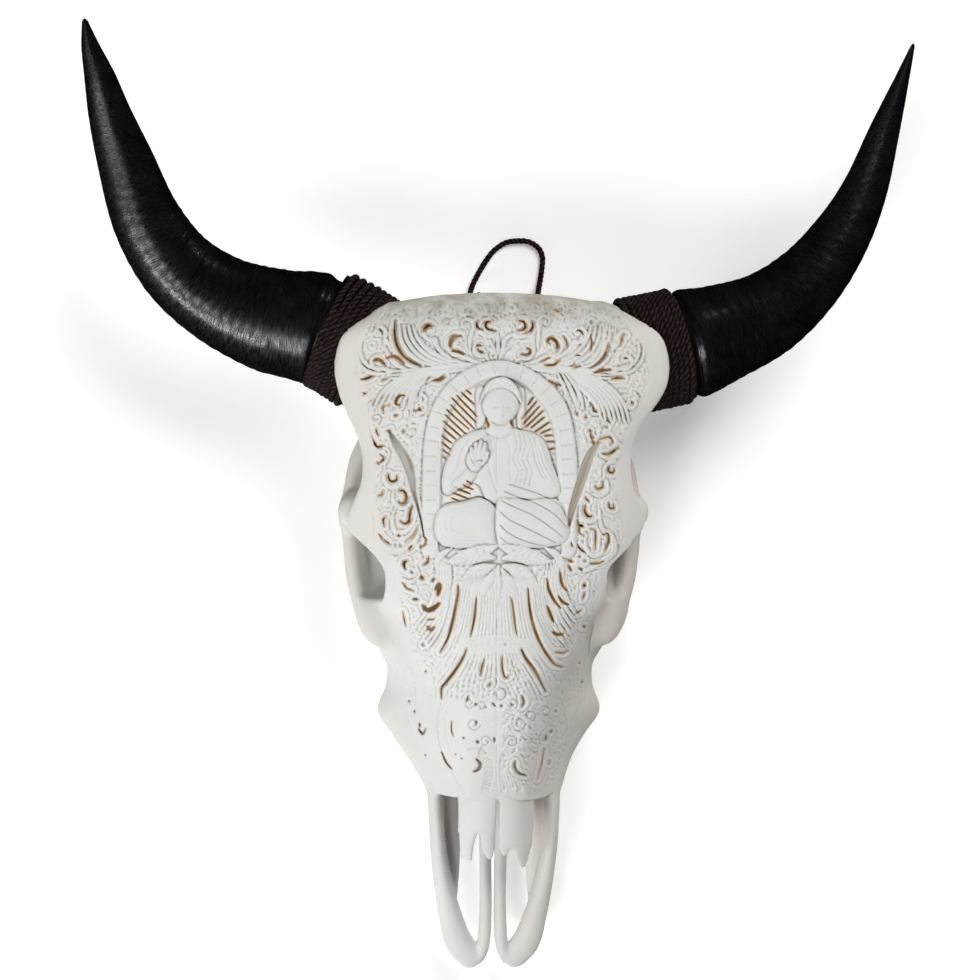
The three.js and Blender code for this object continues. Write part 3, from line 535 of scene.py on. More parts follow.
def body_rings(low_y, high_y, step, shape):
    rings = []
    count = int(math.ceil((high_y - low_y) / step)) + 1
    for y in np.linspace(high_y, low_y, count):
        half = shape(y)
        right = np.stack([lean(half[:, 0], y), arched(half[:, 0], y), half[:, 1]], axis=1)
        left = (right[1:-1] * (0, 1, 1))[::-1]
        left[:, 0] = lean(-half[1:-1, 0], y)[::-1]
        rings.append(np.vstack([right, left]))
    return rings


HOLLOW_FLOOR = [
    (122, 124), (78, 130), (20, 131), (-20, 124), (-42, 112), (-62, 92), (-79, 76), (-104, 58), (-129, 48),
    (-168, 44), (-230, 42),
]


def hollow_floor(y):
    return np.interp(-y, [-row[0] for row in HOLLOW_FLOOR], [row[1] for row in HOLLOW_FLOOR])


def hollow_limit(y):
    """Half breadth that the hollow keeps to: narrow between the eye sockets."""
    return 88 - 38 * smooth((14 - y) / 14) * smooth((y + 78) / 14)


def hollow_at(y):
    """Half outline of the hollow under the face and along the nose."""
    p = profile_at(y)
    floor = hollow_floor(y)
    limit = float(hollow_limit(y))
    inset = lambda x, k: min(x * k, limit)
    shoulder = max(floor + 6, p[3][1] - PLATE - 2)
    half = np.array([
        (0, p[0][1] - PLATE), (inset(p[1][0], 0.9), p[1][1] - PLATE),
        (inset(p[2][0], 0.86), p[2][1] - PLATE - 1),
        (inset(p[3][0], 0.84) + 2, shoulder), (inset(p[3][0], 0.84), floor + 3), (inset(p[1][0], 0.8), floor),
        (0, floor),
    ])
    ghost = np.vstack([half[1] * (-1, 1), half, half[-2] * (-1, 1)])
    return spans(ghost, 5)[5:-5]


ARCH_WAY = [
    (62, 80, 70), (84, 68, 74), (99, 47, 80), (105, 21, 84), (106, -4, 86), (104, -29, 85), (100, -52, 82),
    (90, -74, 76), (78, -95, 66), (68, -118, 58),
]
ARCH_RADII = [(6, 12), (6, 11), (5.5, 9), (5.5, 9), (6, 10), (6.5, 11), (7, 12), (8, 13), (8, 12), (6, 8)]
FRONT_JAW = [
    (45, -176, 51), (45, -206, 50), (44.5, -235, 52), (42.5, -260, 49), (38.5, -286, 44), (33, -311, 38),
    (25.5, -334, 33), (14.5, -346, 30),
]
FRONT_RADII = [(6, 10), (5.6, 11), (5, 11), (5.5, 9), (6.5, 8), (8, 7), (9.5, 6.5), (8.5, 5.5)]
ROD = [(6.2, -196, 38), (6.2, -230, 38), (6, -270, 38), (5.8, -310, 36), (7.5, -336, 33), (11, -346, 30)]
ROD_RADII = [(4.6, 6), (4.6, 5.5), (4.4, 5), (4.4, 5), (4.6, 5), (4, 4.5)]
# Nasal bones: [y, inner x, outer x, inner z, outer z]
NASALS = [
    [(-196, -1, -29.5, 104.3, 90.5), (-214, -1, -29.4, 98, 85.8), (-228, -1.1, -29, 93, 82.4),
    (-239, -1.3, -29, 89, 79)],
    [(-237, -13.9, -29, 89.4, 79.6), (-250, -17.5, -28, 83.5, 75.8), (-262, -18.1, -26.4, 78.5, 73)],
    [(-237, -1.3, -13.1, 88.8, 88.6), (-250, -1.2, -12.4, 84, 84.2), (-256, -2, -9.5, 81.8, 82),
     (-261, -3.8, -5.8, 80, 80)],
    [(-196, 1, 29, 104.3, 90.5), (-214, 1, 28.8, 98, 86), (-232, 1.1, 28.8, 91.5, 81.3),
    (-252, 1.6, 27.6, 84.4, 75.5)],
    [(-250, 11.5, 27.3, 85.2, 76), (-258, 14, 25.5, 81.3, 73.8), (-268, 18.5, 23, 76, 72)],
    [(-250, 1.6, 11, 84.6, 84.6), (-254, 3, 9.6, 82.8, 82.8), (-258, 5, 7.2, 81.2, 81.2)],
]
TEETH = [(-168, 7.4), (-151.4, 8.4), (-133.3, 8.8), (-113.8, 9.8), (-91.8, 11.4), (-67.4, 12.2)]
ROW_HALF = 7.4
ROOT_TOP = 29


def put_plate(field, rows, thick):
    """Thin plate between an inner and an outer edge."""
    rows = np.asarray(rows, float)
    ys = rows[:, 0]
    w, x, y, z = window((-40, ys.min() - 4, 60), (44, ys.max() + 4, 112))
    value = lambda k: np.interp(-y, -ys, rows[:, k])
    shift = 4 * smooth((-170 - y) / 45)
    inner, outer = value(1), value(2)
    t = (x - shift - inner) / (outer - inner)
    side = np.abs(outer - inner)
    top = value(3) + (value(4) - value(3)) * np.clip(t, 0, 1) + 0.17 * side * np.sin(np.pi * np.clip(t, 0, 1))
    mid = top - thick / 2
    edge = (np.abs(t - 0.5) - 0.5) * side
    ends = np.maximum(ys.min() - y, y - ys.max())
    flat = np.maximum(edge, ends) + thick / 2
    f = np.sqrt(np.maximum(flat, 0) ** 2 + (z - mid) ** 2) - thick / 2
    field[w] = soft_min(field[w], f.astype(np.float32), 1.5)


def tooth_centre(side, y):
    p = profile_at(y)
    return float(lean(side * (p[8][0] + p[9][0]) / 2, y))


def put_box(field, low, high):
    """Cuts a rounded box out of the field."""
    w, x, y, z = window(np.subtract(low, 6), np.add(high, 6))
    c, h = np.add(low, high) / 2, np.subtract(high, low) / 2 - SOCKET_ROUND
    d = [np.abs(q - c[k]) - h[k] for k, q in enumerate((x, y, z))]
    out = np.sqrt(sum(np.maximum(q, 0) ** 2 for q in d))
    f = out + np.minimum(np.maximum(d[0], np.maximum(d[1], d[2])), 0) - SOCKET_ROUND
    field[w] = np.maximum(field[w], -f.astype(np.float32))


def bone_field():
    field = ring_solid(body_rings(-212, 166, 2.0, outline_at))
    for side in (-1, 1):
        put_ball(field, (side * 84, -52, 84), (22, 46, 20), 9)
    for side in (-1, 1):
        put_ball(field, (side * 96, -30, 112), (37, 33, 32), 2.5, cut=True)
    for side in (-1, 1):
        put_limb(field, [(side * x, y, z) for x, y, z in ARCH_WAY], ARCH_RADII)
        put_limb(field, [(side * 96, 2, 136), (side * 105, 4, 121), (side * 107, 4, 104),
                 (side * 106, 2, 86)], [(7, 10), (6, 8), (6, 8), (6, 12)], 6, up=(0, 1, 0))
        put_ball(field, (side * 24, 144, 50), (15, 16, 19))
        put_ball(field, (side * 36, 88, 42), (11, 16, 15))
        put_limb(field, [(side * 50, 124, 66), (side * 49, 122, 44), (side * 46, 117, 22),
                 (side * 44, 113, 2)], [(10, 14), (8, 11), (6, 9), (5.5, 8)], up=(0, 1, 0))
    put_limb(field, [(0, 138, 44), (0, 100, 42), (0, 60, 41), (0, 20, 42), (0, -20, 46)],
             [(19, 9), (16, 9), (13, 9), (11, 9), (10, 8)])
    for line in LINES.values():
        s = np.array([WRAP_FROM - 1, line.wrap_end + 12])
        point = line.at(s)[0]
        room = BASE_RADIUS + 2 * FIT + WRAP_CORD
        cylinder(field, point[0], point[1], room, cut=True)
        point = line.at(np.array([-40.0, line.seam - FIT]))[0]
        cylinder(field, point[0], point[1], BASE_RADIUS, cut=False)
    hollow = ring_solid(body_rings(-232, 122, 2.0, lambda y: hollow_at(max(y, -212))))
    np.maximum(field, -hollow, out=field)
    put_limb(field, [(0, 176, 64), (0, 150, 66), (0, 120, 72), (0, 90, 80)],
             [(17, 17), (17, 17), (20, 19), (14, 14)], cut=True)
    for side in (-1, 1):
        blade = [(side * 36, -196, 40), (side * 35.5, -226, 38), (side * 34, -254, 35), (side * 33, -282, 33),
                 (side * 32, -302, 34)]
        put_limb(field, leant(blade), [(7, 7), (7, 6), (6.5, 5), (5, 4.5), (2.5, 3)], 4)
        put_limb(field, leant([(side * x, y, z) for x, y, z in FRONT_JAW]), FRONT_RADII, 2.5)
        put_limb(field, leant([(side * x, y, z) for x, y, z in ROD]), ROD_RADII, 1.5)
    for i, rows in enumerate(NASALS):
        put_plate(field, rows, 4.2 if i in (0, 3) else 4)
    for line in LINES.values():
        s = np.array([line.seam - 4, line.seam + 40, line.seam + 80, line.seam + 100])
        points = line.at(s)[0]
        put_limb(field, points, [(33, 33), (26, 26), (18, 18), (10, 10)], 0)
    for side in (-1, 1):
        for y, half in TEETH:
            x = tooth_centre(side, y)
            put_box(field, (x - ROW_HALF - FIT, y - half - FIT, -8),
                    (x + ROW_HALF + FIT, y + half + FIT, ROOT_TOP + 1))
    for way in CORD_HOLES:
        put_limb(field, way, [(2.9, 2.9), (2.9, 2.9), (2.9, 2.9), (3.1, 3.1), (3.8, 3.8)], 0, cut=True)
    return field, hollow


def cylinder(field, a, b, radius, cut):
    w, x, y, z = window(np.minimum(a, b) - radius - FAR, np.maximum(a, b) + radius + FAR)
    along = unit(b - a)
    rel = (x - a[0], y - a[1], z - a[2])
    s = rel[0] * along[0] + rel[1] * along[1] + rel[2] * along[2]
    off = np.sqrt(np.maximum(rel[0] ** 2 + rel[1] ** 2 + rel[2] ** 2 - s ** 2, 0)) - radius
    f = np.maximum(off, np.maximum(-s, s - np.linalg.norm(b - a))).astype(np.float32)
    field[w] = np.maximum(field[w], -f) if cut else soft_min(field[w], f, 2.0)


def skin(field, low, step, adaptivity=0.0):
    """Surface of a field as vertices in millimetres, quads and triangles."""
    grid = openvdb.FloatGrid(float(BAND * step))
    grid.copyFromArray(np.ascontiguousarray(field, np.float32))
    points, tris, quads = grid.convertToPolygons(isovalue=0.0, adaptivity=adaptivity)
    return points.astype(np.float64) * step + low, quads.astype(np.int64), tris.astype(np.int64)


# Drawing of the carving, measured in steps over the plain face.
# "rise" is its height in millimetres, "gap" the distance to the nearest pierced edge,
# "ring" the distance to the nearest edge or eye that the carver's lines run round.
DRAWN = np.array([332.0, 288.0])
DENSE = 2
WIDE, TALL = 340 * DENSE, 528 * DENSE
US = (DRAWN[0] + np.arange(WIDE) / DENSE).astype(np.float32)
VS = (DRAWN[1] + np.arange(TALL) / DENSE).astype(np.float32)
rise = np.zeros((WIDE, TALL), np.float32)
gap = np.full((WIDE, TALL), 24, np.float32)
ring = np.full((WIDE, TALL), 24, np.float32)
trough_shade_table = np.zeros((WIDE, TALL), np.float32)  # painted brown shade in the troughs
STRAND_CUT = 0.55  # depth of the cuts between the strands of a leaf
MIDDLE = 498.0  # joint of the two halves of the face


def part_of(low, high):
    a = np.clip(np.floor((np.asarray(low) - DRAWN) * DENSE), 0, (WIDE, TALL)).astype(int)
    b = np.clip(np.ceil((np.asarray(high) - DRAWN) * DENSE) + 1, 0, (WIDE, TALL)).astype(int)
    return slice(a[0], b[0]), slice(a[1], b[1])


def track(path, reach):
    """Distance, signed side and distance along, for the samples round a line."""
    path = np.asarray(path, float)
    whole = part_of(path.min(0) - reach, path.max(0) + reach)
    shape = (whole[0].stop - whole[0].start, whole[1].stop - whole[1].start)
    near = np.full(shape, 1e3, np.float32)
    side = np.full(shape, 1e3, np.float32)
    along = np.zeros(shape, np.float32)
    s = walked(path)
    for p, q, start in zip(path[:-1], path[1:], s):
        cut = part_of(np.minimum(p, q) - reach, np.maximum(p, q) + reach)
        u, v = US[cut[0]][:, None] - p[0], VS[cut[1]][None, :] - p[1]
        d = q - p
        size = max(math.hypot(*d), 1e-6)
        t = np.clip((u * d[0] + v * d[1]) / size ** 2, 0, 1)
        dist = np.sqrt((u - t * d[0]) ** 2 + (v - t * d[1]) ** 2)
        here = tuple(slice(c.start - w.start, c.stop - w.start) for c, w in zip(cut, whole))
        closer = dist < near[here]
        near[here][closer] = dist[closer]
        side[here][closer] = np.copysign(dist, d[0] * v - d[1] * u)[closer]
        along[here][closer] = (start + t * size)[closer]
    return whole, near, side, along, max(s[-1], 1e-6)


def slot(points, half, ends=0.45):
    """Pierced slot along a line; half is its half breadth, or a list of them from end to end."""
    path = curve(points, 0.8)
    halves = np.atleast_1d(half) * 1.18 + 0.2
    cut, near, _, along, length = track(path, max(halves) + 9)
    t = along / length
    if len(halves) == 1:
        breadth = halves[0] * (ends + (1 - ends) * np.clip(np.sin(np.pi * t), 0, 1) ** 0.6)
    else:
        breadth = np.interp(t, np.linspace(0, 1, len(halves)), halves)
    edge = near - breadth
    gap[cut] = np.minimum(gap[cut], edge)
    ring[cut] = np.minimum(ring[cut], edge)


def round_mark(at, radius, reach, tables):
    cut = part_of(np.subtract(at, reach), np.add(at, reach))
    edge = np.hypot(US[cut[0]][:, None] - at[0], VS[cut[1]][None, :] - at[1]) - radius
    for table in tables:
        table[cut] = np.minimum(table[cut], edge)


def dot(at, radius):
    """Drilled hole."""
    round_mark(at, radius * 1.2, radius + 9, (gap, ring))


def eye(at):
    """A point that the carved lines run round without a hole."""
    round_mark(at, 0.5, 12, (ring,))


def groove_path(path, depth=0.5, half=0.7, fade=3.0):
    cut, near, _, along, length = track(path, half * 2.6)
    ends = smooth(np.minimum(along, length - along) / fade + 0.15)
    rise[cut] -= depth * np.exp(-(near / half) ** 2) * ends


def groove(points, depth=0.5, half=0.7, fade=3.0):
    groove_path(curve(points, 1.0), depth, half, fade)


def fan(first, last, count, depth=0.5, half=0.7, fade=3.0):
    """Grooves spread evenly between two lines."""
    samples = 26
    even_out = lambda pts: even(spans(pts, 10), walked(spans(pts, 10))[-1] / (samples - 1))[:samples]
    a, b = even_out(first), even_out(last)
    n = min(len(a), len(b))
    for t in np.linspace(0, 1, count):
        groove_path(a[:n] * (1 - t) + b[:n] * t, depth, half, fade)


def comb(points, inner, outer, pitch, depth=0.5):
    """Short cuts square to a line, between two distances on one side of it."""
    path = curve(points, 1.0)
    cut, _, side, along, _ = track(path, max(abs(inner), abs(outer)) + 1)
    low, high = min(inner, outer), max(inner, outer)
    where = smooth((side - low) / 0.9) * smooth((high - side) / 0.9)
    rise[cut] -= depth * (0.5 + 0.5 * np.cos(2 * np.pi * along / pitch)) ** 1.6 * where


def ribbon(points, halves, strands=3, height=1.3, base=0.0):
    """Raised leaf or stem of several strands laid over what is there."""
    path = curve(points, 1.0)
    halves = np.atleast_1d(halves) * 1.2
    strands = max(1, strands - 1)
    cut, near, side, along, length = track(path, max(halves) + 2)
    half = np.interp(along, np.linspace(0, length, len(halves)), halves) if len(halves) > 1 else halves[0]
    half = np.maximum(half, 0.15)
    t = np.clip(side / half, -1, 1)
    crown = height * np.sqrt(np.clip(1 - 0.8 * t * t, 0, 1)) * smooth(half / 1.6)
    wave = np.abs(np.cos(0.5 * np.pi * strands * (t + 1))) ** 3 if strands > 1 else 0
    mask = smooth((half - near) / 0.8 + 0.5)
    rise[cut] = rise[cut] * (1 - mask) + (base + crown - STRAND_CUT * wave) * mask
    rise[cut] -= 0.6 * np.exp(-((near - half - 0.6) / 0.7) ** 2)


def strands(first, last, count, halves, height=1.2):
    """Single raised strands side by side between two lines."""
    n = 24
    a, b = (even(spans(q, 10), walked(spans(q, 10))[-1] / n)[:n] for q in (first, last))
    for t in np.linspace(0, 1, count):
        ribbon((a * (1 - t) + b * t)[::4], halves, 1, height)


def volute(at, radius, start, hand=1, boss=1.5):
    """Rolled end: a cut spiral round a small boss."""
    groove(spiral(at, radius, 1.5, start, hand), 0.85, 0.8)
    rise_add(at, (boss, boss), 0.8)


def scroll(tail, at, radius, start, hand):
    """Strand that runs up from its tail and rolls in round a small boss."""
    half = 1.75
    ribbon(tail + spiral(at, radius, 1.15, start, hand), [0.7, half, half, half, half * 0.9, half * 0.7, 0.6],
           1, 1.25)
    rise_add(at, (1.6, 1.6), 0.7)


def inside(path, cut):
    u, v = US[cut[0]][:, None], VS[cut[1]][None, :]
    odd = np.zeros((u.shape[0], v.shape[1]), bool)
    for p, q in zip(path, np.roll(path, -1, axis=0)):
        if abs(q[1] - p[1]) < 1e-9:
            continue
        crossing = (v > p[1]) != (v > q[1])
        odd ^= crossing & (u < (q[0] - p[0]) * (v - p[1]) / (q[1] - p[1]) + p[0])
    return odd


def rounded(points):
    """Closed curve through the points."""
    points = list(points)
    line = spans(points[-1:] + points + points[:2], 8)
    return even(line[8:-8], 1.2)


def within(points, reach):
    """Window and signed distance inside a closed outline, positive inside."""
    path = rounded(points)
    cut, near, _, _, _ = track(path, reach)
    return cut, np.where(inside(path, cut), near, -near)


def mound(points, height, shoulder, base=0.0, edge=0.5):
    """Raised part with rounded shoulders, laid over what is there."""
    cut, d = within(points, shoulder + 2)
    t = np.clip(d / shoulder, 0, 1)
    top = base + height * np.sqrt(1 - (1 - t) ** 2)
    mask = smooth(d / 0.9 + 0.5)
    rise[cut] = rise[cut] * (1 - mask) + top * mask
    rise[cut] -= edge * np.exp(-((d + 0.7) / 0.7) ** 2)


def level(points, height, soft=1.5):
    """Sets the ground inside an outline to one height."""
    cut, d = within(points, soft + 2)
    mask = smooth(d / soft)
    rise[cut] = rise[cut] * (1 - mask) + height * mask


def mirror(points, about):
    return [(2 * about - p[0], p[1]) for p in points]


def spiral(at, radius, turns, start, hand=1):
    t = np.linspace(0, 1, int(14 * turns) + 2)
    angle = math.radians(start) + hand * 2 * np.pi * turns * t
    r = radius * (1 - 0.86 * t)
    return [(at[0] + q * math.cos(a), at[1] + q * math.sin(a)) for q, a in zip(r, angle)]


# Edge of the carved part of the face
DOMAIN = [
    (384, 306), (370, 318), (360, 335), (356, 352), (358, 370), (362, 392), (366, 410), (370, 430),
    (373, 450), (372, 470), (371, 490), (372, 505), (376, 520), (376, 535), (380, 548), (388, 556),
    (395, 566), (398, 580), (396, 600), (398, 615), (402, 630), (406, 645), (404, 660), (400, 672),
    (396, 690), (397, 705), (402, 725), (408, 745), (415, 763), (424, 778), (434, 789), (447, 794),
    (470, 796), (497, 797), (538, 797), (553, 789), (564, 776), (571, 760), (578, 740), (584, 720),
    (588, 700), (590, 680), (592, 660), (592, 645), (594, 628), (598, 612), (600, 596), (606, 580),
    (612, 568), (622, 558), (630, 545), (628, 530), (624, 515), (622, 500), (620, 480), (622, 460),
    (626, 445), (632, 430), (640, 415), (646, 400), (652, 385), (652, 365), (646, 345), (636, 328),
    (622, 312), (606, 304), (575, 300), (540, 298), (500, 298), (460, 299), (430, 301), (400, 303),
]

# Pierced slots as read off the work: half breadth in steps, then the line
SLOTS = [
    # crown, left of the middle
    (1.5, (395.1, 320.6), (394.6, 332.9), (397.1, 345.1), (403.3, 355.3), (411.4, 361.4), (420.1, 365.7)),
    (1.9, (423.2, 331.8), (425.2, 327.8), (428.8, 325.2), (432.3, 326.2)),
    (1.8, (449.7, 347.1), (450.7, 341), (454.3, 336.9), (460.4, 335.9)),
    (1.3, (451.2, 351.2), (457.3, 351.2), (464, 355.1)),
    (1.0, (482.3, 345.6), (478.8, 344.6), (475.7, 347.1)),
    (1.0, (477.8, 349.2), (482.9, 353.3)),
    (1.2, (477.2, 321.6), (477.2, 325.7), (481.3, 330.3)),
    (1.3, (492, 320.8), (487, 322), (485.8, 326), (488.5, 329), (495, 330.5)),
    (1.8, (373.7, 360.4), (378.8, 359.4), (384.9, 364.3)),
    (1.8, (386.9, 357.9), (395.1, 356.3), (404.3, 363.5)),
    (1.1, (359.4, 379.3), (364.5, 378.8), (374.2, 375.2)),
    (1.3, (358.9, 397.1), (361.9, 394.6), (366, 392.6)),
    (0.8, (379.3, 327.8), (382.3, 332.9)),
    (1.7, (433.9, 379.8), (438, 379.8), (445.1, 376.5)),
    (0.7, (425.7, 382.9), (427.8, 378.8), (430.8, 376.2)),
    (1.4, (405.3, 395.6), (401.2, 395.1), (397.1, 398.2), (395.6, 402.2), (396.3, 403.8), (399, 405.4),
     (400.1, 403.8)),
    (0.7, (381.8, 380.8), (386.9, 377.8)),
    # crown, right of the middle
    (1.1, (518.1, 321), (523.3, 321), (525.6, 325.6), (523.3, 329.6), (517.6, 330.8)),
    (1.2, (532.5, 321.6), (533, 326.7), (529.6, 331.3), (524.4, 334.2)),
    (1.5, (548.6, 344), (548, 340.5), (552, 338.2), (556.6, 341.7), (557.7, 346.3), (556.6, 349.7)),
    (0.8, (563.5, 336.5), (566.7, 341.7), (567.2, 348.6)),
    (1.2, (521.6, 354.3), (526.2, 354.9), (530.2, 352.6), (530.2, 349.1), (526.2, 348)),
    (1.0, (540.5, 361.8), (545.1, 360), (550.3, 356.6)),
    (1.2, (544, 365.2), (554.3, 364.6), (557.7, 361.8), (561.2, 359.5)),
    (0.8, (576.7, 330.2), (580, 330.5), (583, 334), (582.5, 336)),
    (0.9, (591, 335.9), (591.6, 344), (590.5, 352)),
    (1.2, (608.3, 342.8), (607.1, 349.7), (603.1, 357.7), (596.8, 364), (591, 368.1)),
    (0.7, (575.5, 355.4), (580.7, 355.4)),
    (0.7, (572.7, 365.2), (576.1, 362.3)),
    (0.7, (572.7, 369.2), (579.6, 365.8)),
    (1.5, (593.9, 373.2), (602.5, 370.4), (610.6, 370.4)),
    (1.2, (612.3, 379), (618.6, 377.8), (623.8, 378.4)),
    (0.7, (619.7, 345.7), (622, 339.4), (623.8, 335.4)),
    (1.1, (549.7, 381.3), (556, 384.1), (561.2, 384.7)),
    (0.9, (556, 384), (557, 388)),
    (0.8, (554.3, 310.7), (558.9, 311.8), (561.2, 309.5)),
    # panel over the left eye socket
    (0.6, (388.3, 405.4), (383.7, 406.5), (382.9, 409.9), (383.3, 413)),
    (0.8, (394.4, 416.1), (397.8, 414.5)),
    (1.0, (415, 410.3), (417.3, 410.7), (420.4, 408.4), (420, 406.5)),
    (0.9, (376.8, 428.3), (376.4, 431.4), (378.3, 435.2)),
    (0.8, (386.7, 431.4), (389.8, 431.4), (390.9, 429.1)),
    (0.8, (403.6, 429.8), (402.8, 432.9)),
    ((0.6, 0.8, 1.3, 0.9), (368.7, 427.5), (370.7, 435.2), (374.5, 442.8), (377.5, 446.7), (382.9, 445.9)),
    (0.9, (380.6, 454.7), (383.7, 457.4), (382.9, 460.4), (378.3, 462.7), (376.8, 460.4)),
    (1.2, (388.6, 473.5), (389, 478.8), (392.5, 481.5), (396.7, 479.6), (397.4, 475.7)),
    (0.8, (377.9, 495.6), (381.4, 494.9), (383.7, 490.3)),
    (1.4, (399, 491), (402.8, 490.3), (406.2, 494.9), (405.9, 501), (402, 503.7), (399, 501.4)),
    (1.3, (413.7, 505.4), (411, 509.8), (409.7, 516), (409.3, 521), (404.8, 523.7), (400.8, 521.4)),
    (1.0, (386.1, 516.5), (383.4, 519.6), (384.3, 525.9)),
    (0.9, (398.6, 535.7), (399.5, 533.9)),
    (0.7, (406.6, 542), (409.3, 539.3), (414.6, 533.9), (418.2, 525.9)),
    (1.1, (422.7, 536.2), (425.8, 538.4), (425.4, 543.8), (420.9, 547.3)),
    (1.1, (408.4, 550), (412.9, 544.6)),
    (0.9, (378.9, 533.9), (383.4, 539.3), (390.5, 544.2)),
    (1.3, (407.5, 560.7), (404.4, 562.5), (404.8, 567.9), (405.7, 568.8)),
    (0.9, (428.9, 555.4), (428, 561.6), (423.6, 565.2)),
    (0.8, (431.6, 581.3), (436.1, 577.7)),
    (2.3, (435.2, 590.2), (439.6, 584.8), (437.9, 595.5)),
    (0.6, (403, 582.1), (406.6, 587.5), (413.8, 590.6)),
    (1.0, (413.8, 599.1), (418.2, 599.1)),
    (2.3, (423.6, 605.4), (427.1, 609.8), (432.5, 608.9), (440.5, 602.7)),
    (0.7, (427.1, 619.2), (432.5, 619.2), (435.6, 617.4)),
    (1.6, (427.1, 625.9), (431.6, 629.5), (435.2, 625.9)),
    (0.9, (403, 611.6), (404.4, 618.8), (405.7, 625.9)),
    # panel over the right eye socket
    (0.8, (592.8, 404.6), (594.7, 411.5), (597, 409.2)),
    (0.7, (576, 412.2), (577.5, 415.3)),
    (0.7, (586.7, 415.3), (585.2, 419.1)),
    (0.7, (606.2, 418.4), (610, 423)),
    ((0.7, 0.9, 1.2), (590.1, 430.6), (590.9, 435.2), (594, 443.6)),
    (0.8, (601.2, 442.1), (600.1, 440.6), (604.7, 437.9), (610, 437.5), (612.7, 442.1), (610.8, 445.1)),
    (1.2, (603.5, 453.9), (608.5, 454.3), (613.9, 451.3), (618.5, 447.8)),
    (1.1, (608.5, 466.6), (609.3, 471.9), (613.1, 472.7), (614.6, 468.9)),
    (0.9, (595.5, 486.5), (597.8, 489.1), (603.1, 486.8), (602.8, 481.9)),
    (0.9, (585.6, 497.6), (589, 501.8)),
    (1.2, (585.6, 505.4), (585.2, 511.6), (588.8, 516.5), (592.8, 516.1)),
    (0.9, (608.9, 503.3), (610, 507.9), (613.9, 508.6), (613.5, 504.8)),
    (0.8, (578, 521.4), (579.4, 527.7), (579.8, 533), (583.4, 535.7)),
    (1.6, (579.8, 525), (583.5, 526.5)),
    (0.7, (591.4, 529), (595, 530.4), (595.9, 535.7), (595.4, 550)),
    (1.1, (603.9, 534.8), (607.5, 533.5), (609.3, 538.4), (607.5, 545.5), (603.9, 551.8)),
    (1.0, (578, 545.5), (582.5, 550.9), (585.2, 551.8)),
    (1.0, (590.5, 563.4), (596.8, 563.8), (604.8, 560.7)),
    (0.8, (570.9, 542), (572.7, 547.3)),
    (1.4, (568, 561), (573, 561.5)),
    (1.2, (568.7, 565.2), (571, 570.5)),
    (1.0, (579.8, 567.9), (582.5, 571.4)),
    (1.5, (560.2, 571.4), (561.1, 578.6), (562.9, 585.7), (566.4, 591.1)),
    (1.1, (585.2, 583.9), (584.3, 587.5)),
    (0.7, (583.4, 599.1), (585.2, 592.9)),
    (1.4, (558.4, 596.4), (563.8, 602.7), (569.1, 604.5)),
    (0.8, (575.4, 614.3), (582.5, 609.8)),
    (1.5, (547.7, 606.3), (550.4, 613.4), (553.9, 622.3)),
    (1.8, (553, 632.1), (558.4, 634.8), (563.8, 633.9)),
    # long slots of the skirt under the figure
    (1.3, (458.5, 585.3), (458.5, 593), (455.6, 608.3), (451.8, 626.5), (447, 640.8), (440.8, 651.8)),
    (1.2, (476.7, 597.8), (475.7, 608.3), (474.3, 620.7), (470.9, 636)),
    (1.0, (511.6, 597.8), (514, 613.1), (515.4, 625.5), (516.9, 635)),
    (1.5, (528.3, 588.7), (529.8, 606.4), (533.1, 623.6), (538.9, 639.9), (547.5, 655.2), (555.1, 664.7),
     (562.8, 667.1)),
    (1.5, (547, 578.6), (549.4, 590.1), (555.1, 601.6), (560.9, 608.3)),
    (1.3, (467.1, 648.9), (463.3, 658), (455.6, 670.5), (446.1, 682.9), (442.2, 687.7), (441.7, 698.2)),
    ((1.2, 1.4, 1.1, 0.6), (522.1, 650.4), (526.4, 659), (534.1, 669.5), (540.8, 682), (545.6, 691.5)),
    (0.9, (484.8, 659), (482.4, 666.7), (480.5, 675.3)),
    (0.7, (492, 682.9), (488.2, 686.3)),
    (0.8, (502.5, 656.1), (503, 670.5), (506.3, 678.1), (510.2, 675.3)),
    # nose
    (0.9, (469, 696.6), (467.1, 701)),
    (0.8, (492.6, 703), (495.8, 706.8)),
    (1.0, (522.6, 696.6), (523.9, 703), (521.9, 706.8)),
    (0.6, (477, 721), (475.5, 724.6)),
    (0.6, (451.8, 720.8), (451.8, 731), (453.7, 736.1)),
    (0.9, (441.6, 751.4), (446.7, 762.9), (452.4, 769.3)),
    (1.4, (476.7, 759.1), (480.5, 764.2), (478.6, 769.3), (474.1, 771.8)),
    (1.0, (515.6, 761.6), (514.9, 766.7), (518.8, 773.1), (525.8, 775.7)),
    (0.8, (494.5, 737.4), (494.5, 742.5)),
    (0.6, (544.3, 748.9), (541.7, 764.2), (537.9, 779.5)),
    (0.8, (546.2, 736.1), (544.9, 741.2)),
    (0.9, (418.4, 728.4), (422.9, 733.8), (426, 728.4)),
    (0.8, (419.5, 723), (420.2, 727.5)),
    (0.8, (555.7, 652.5), (562.9, 653.4), (567.3, 651.6)),
    (0.7, (546, 735.5), (546, 741)),
]

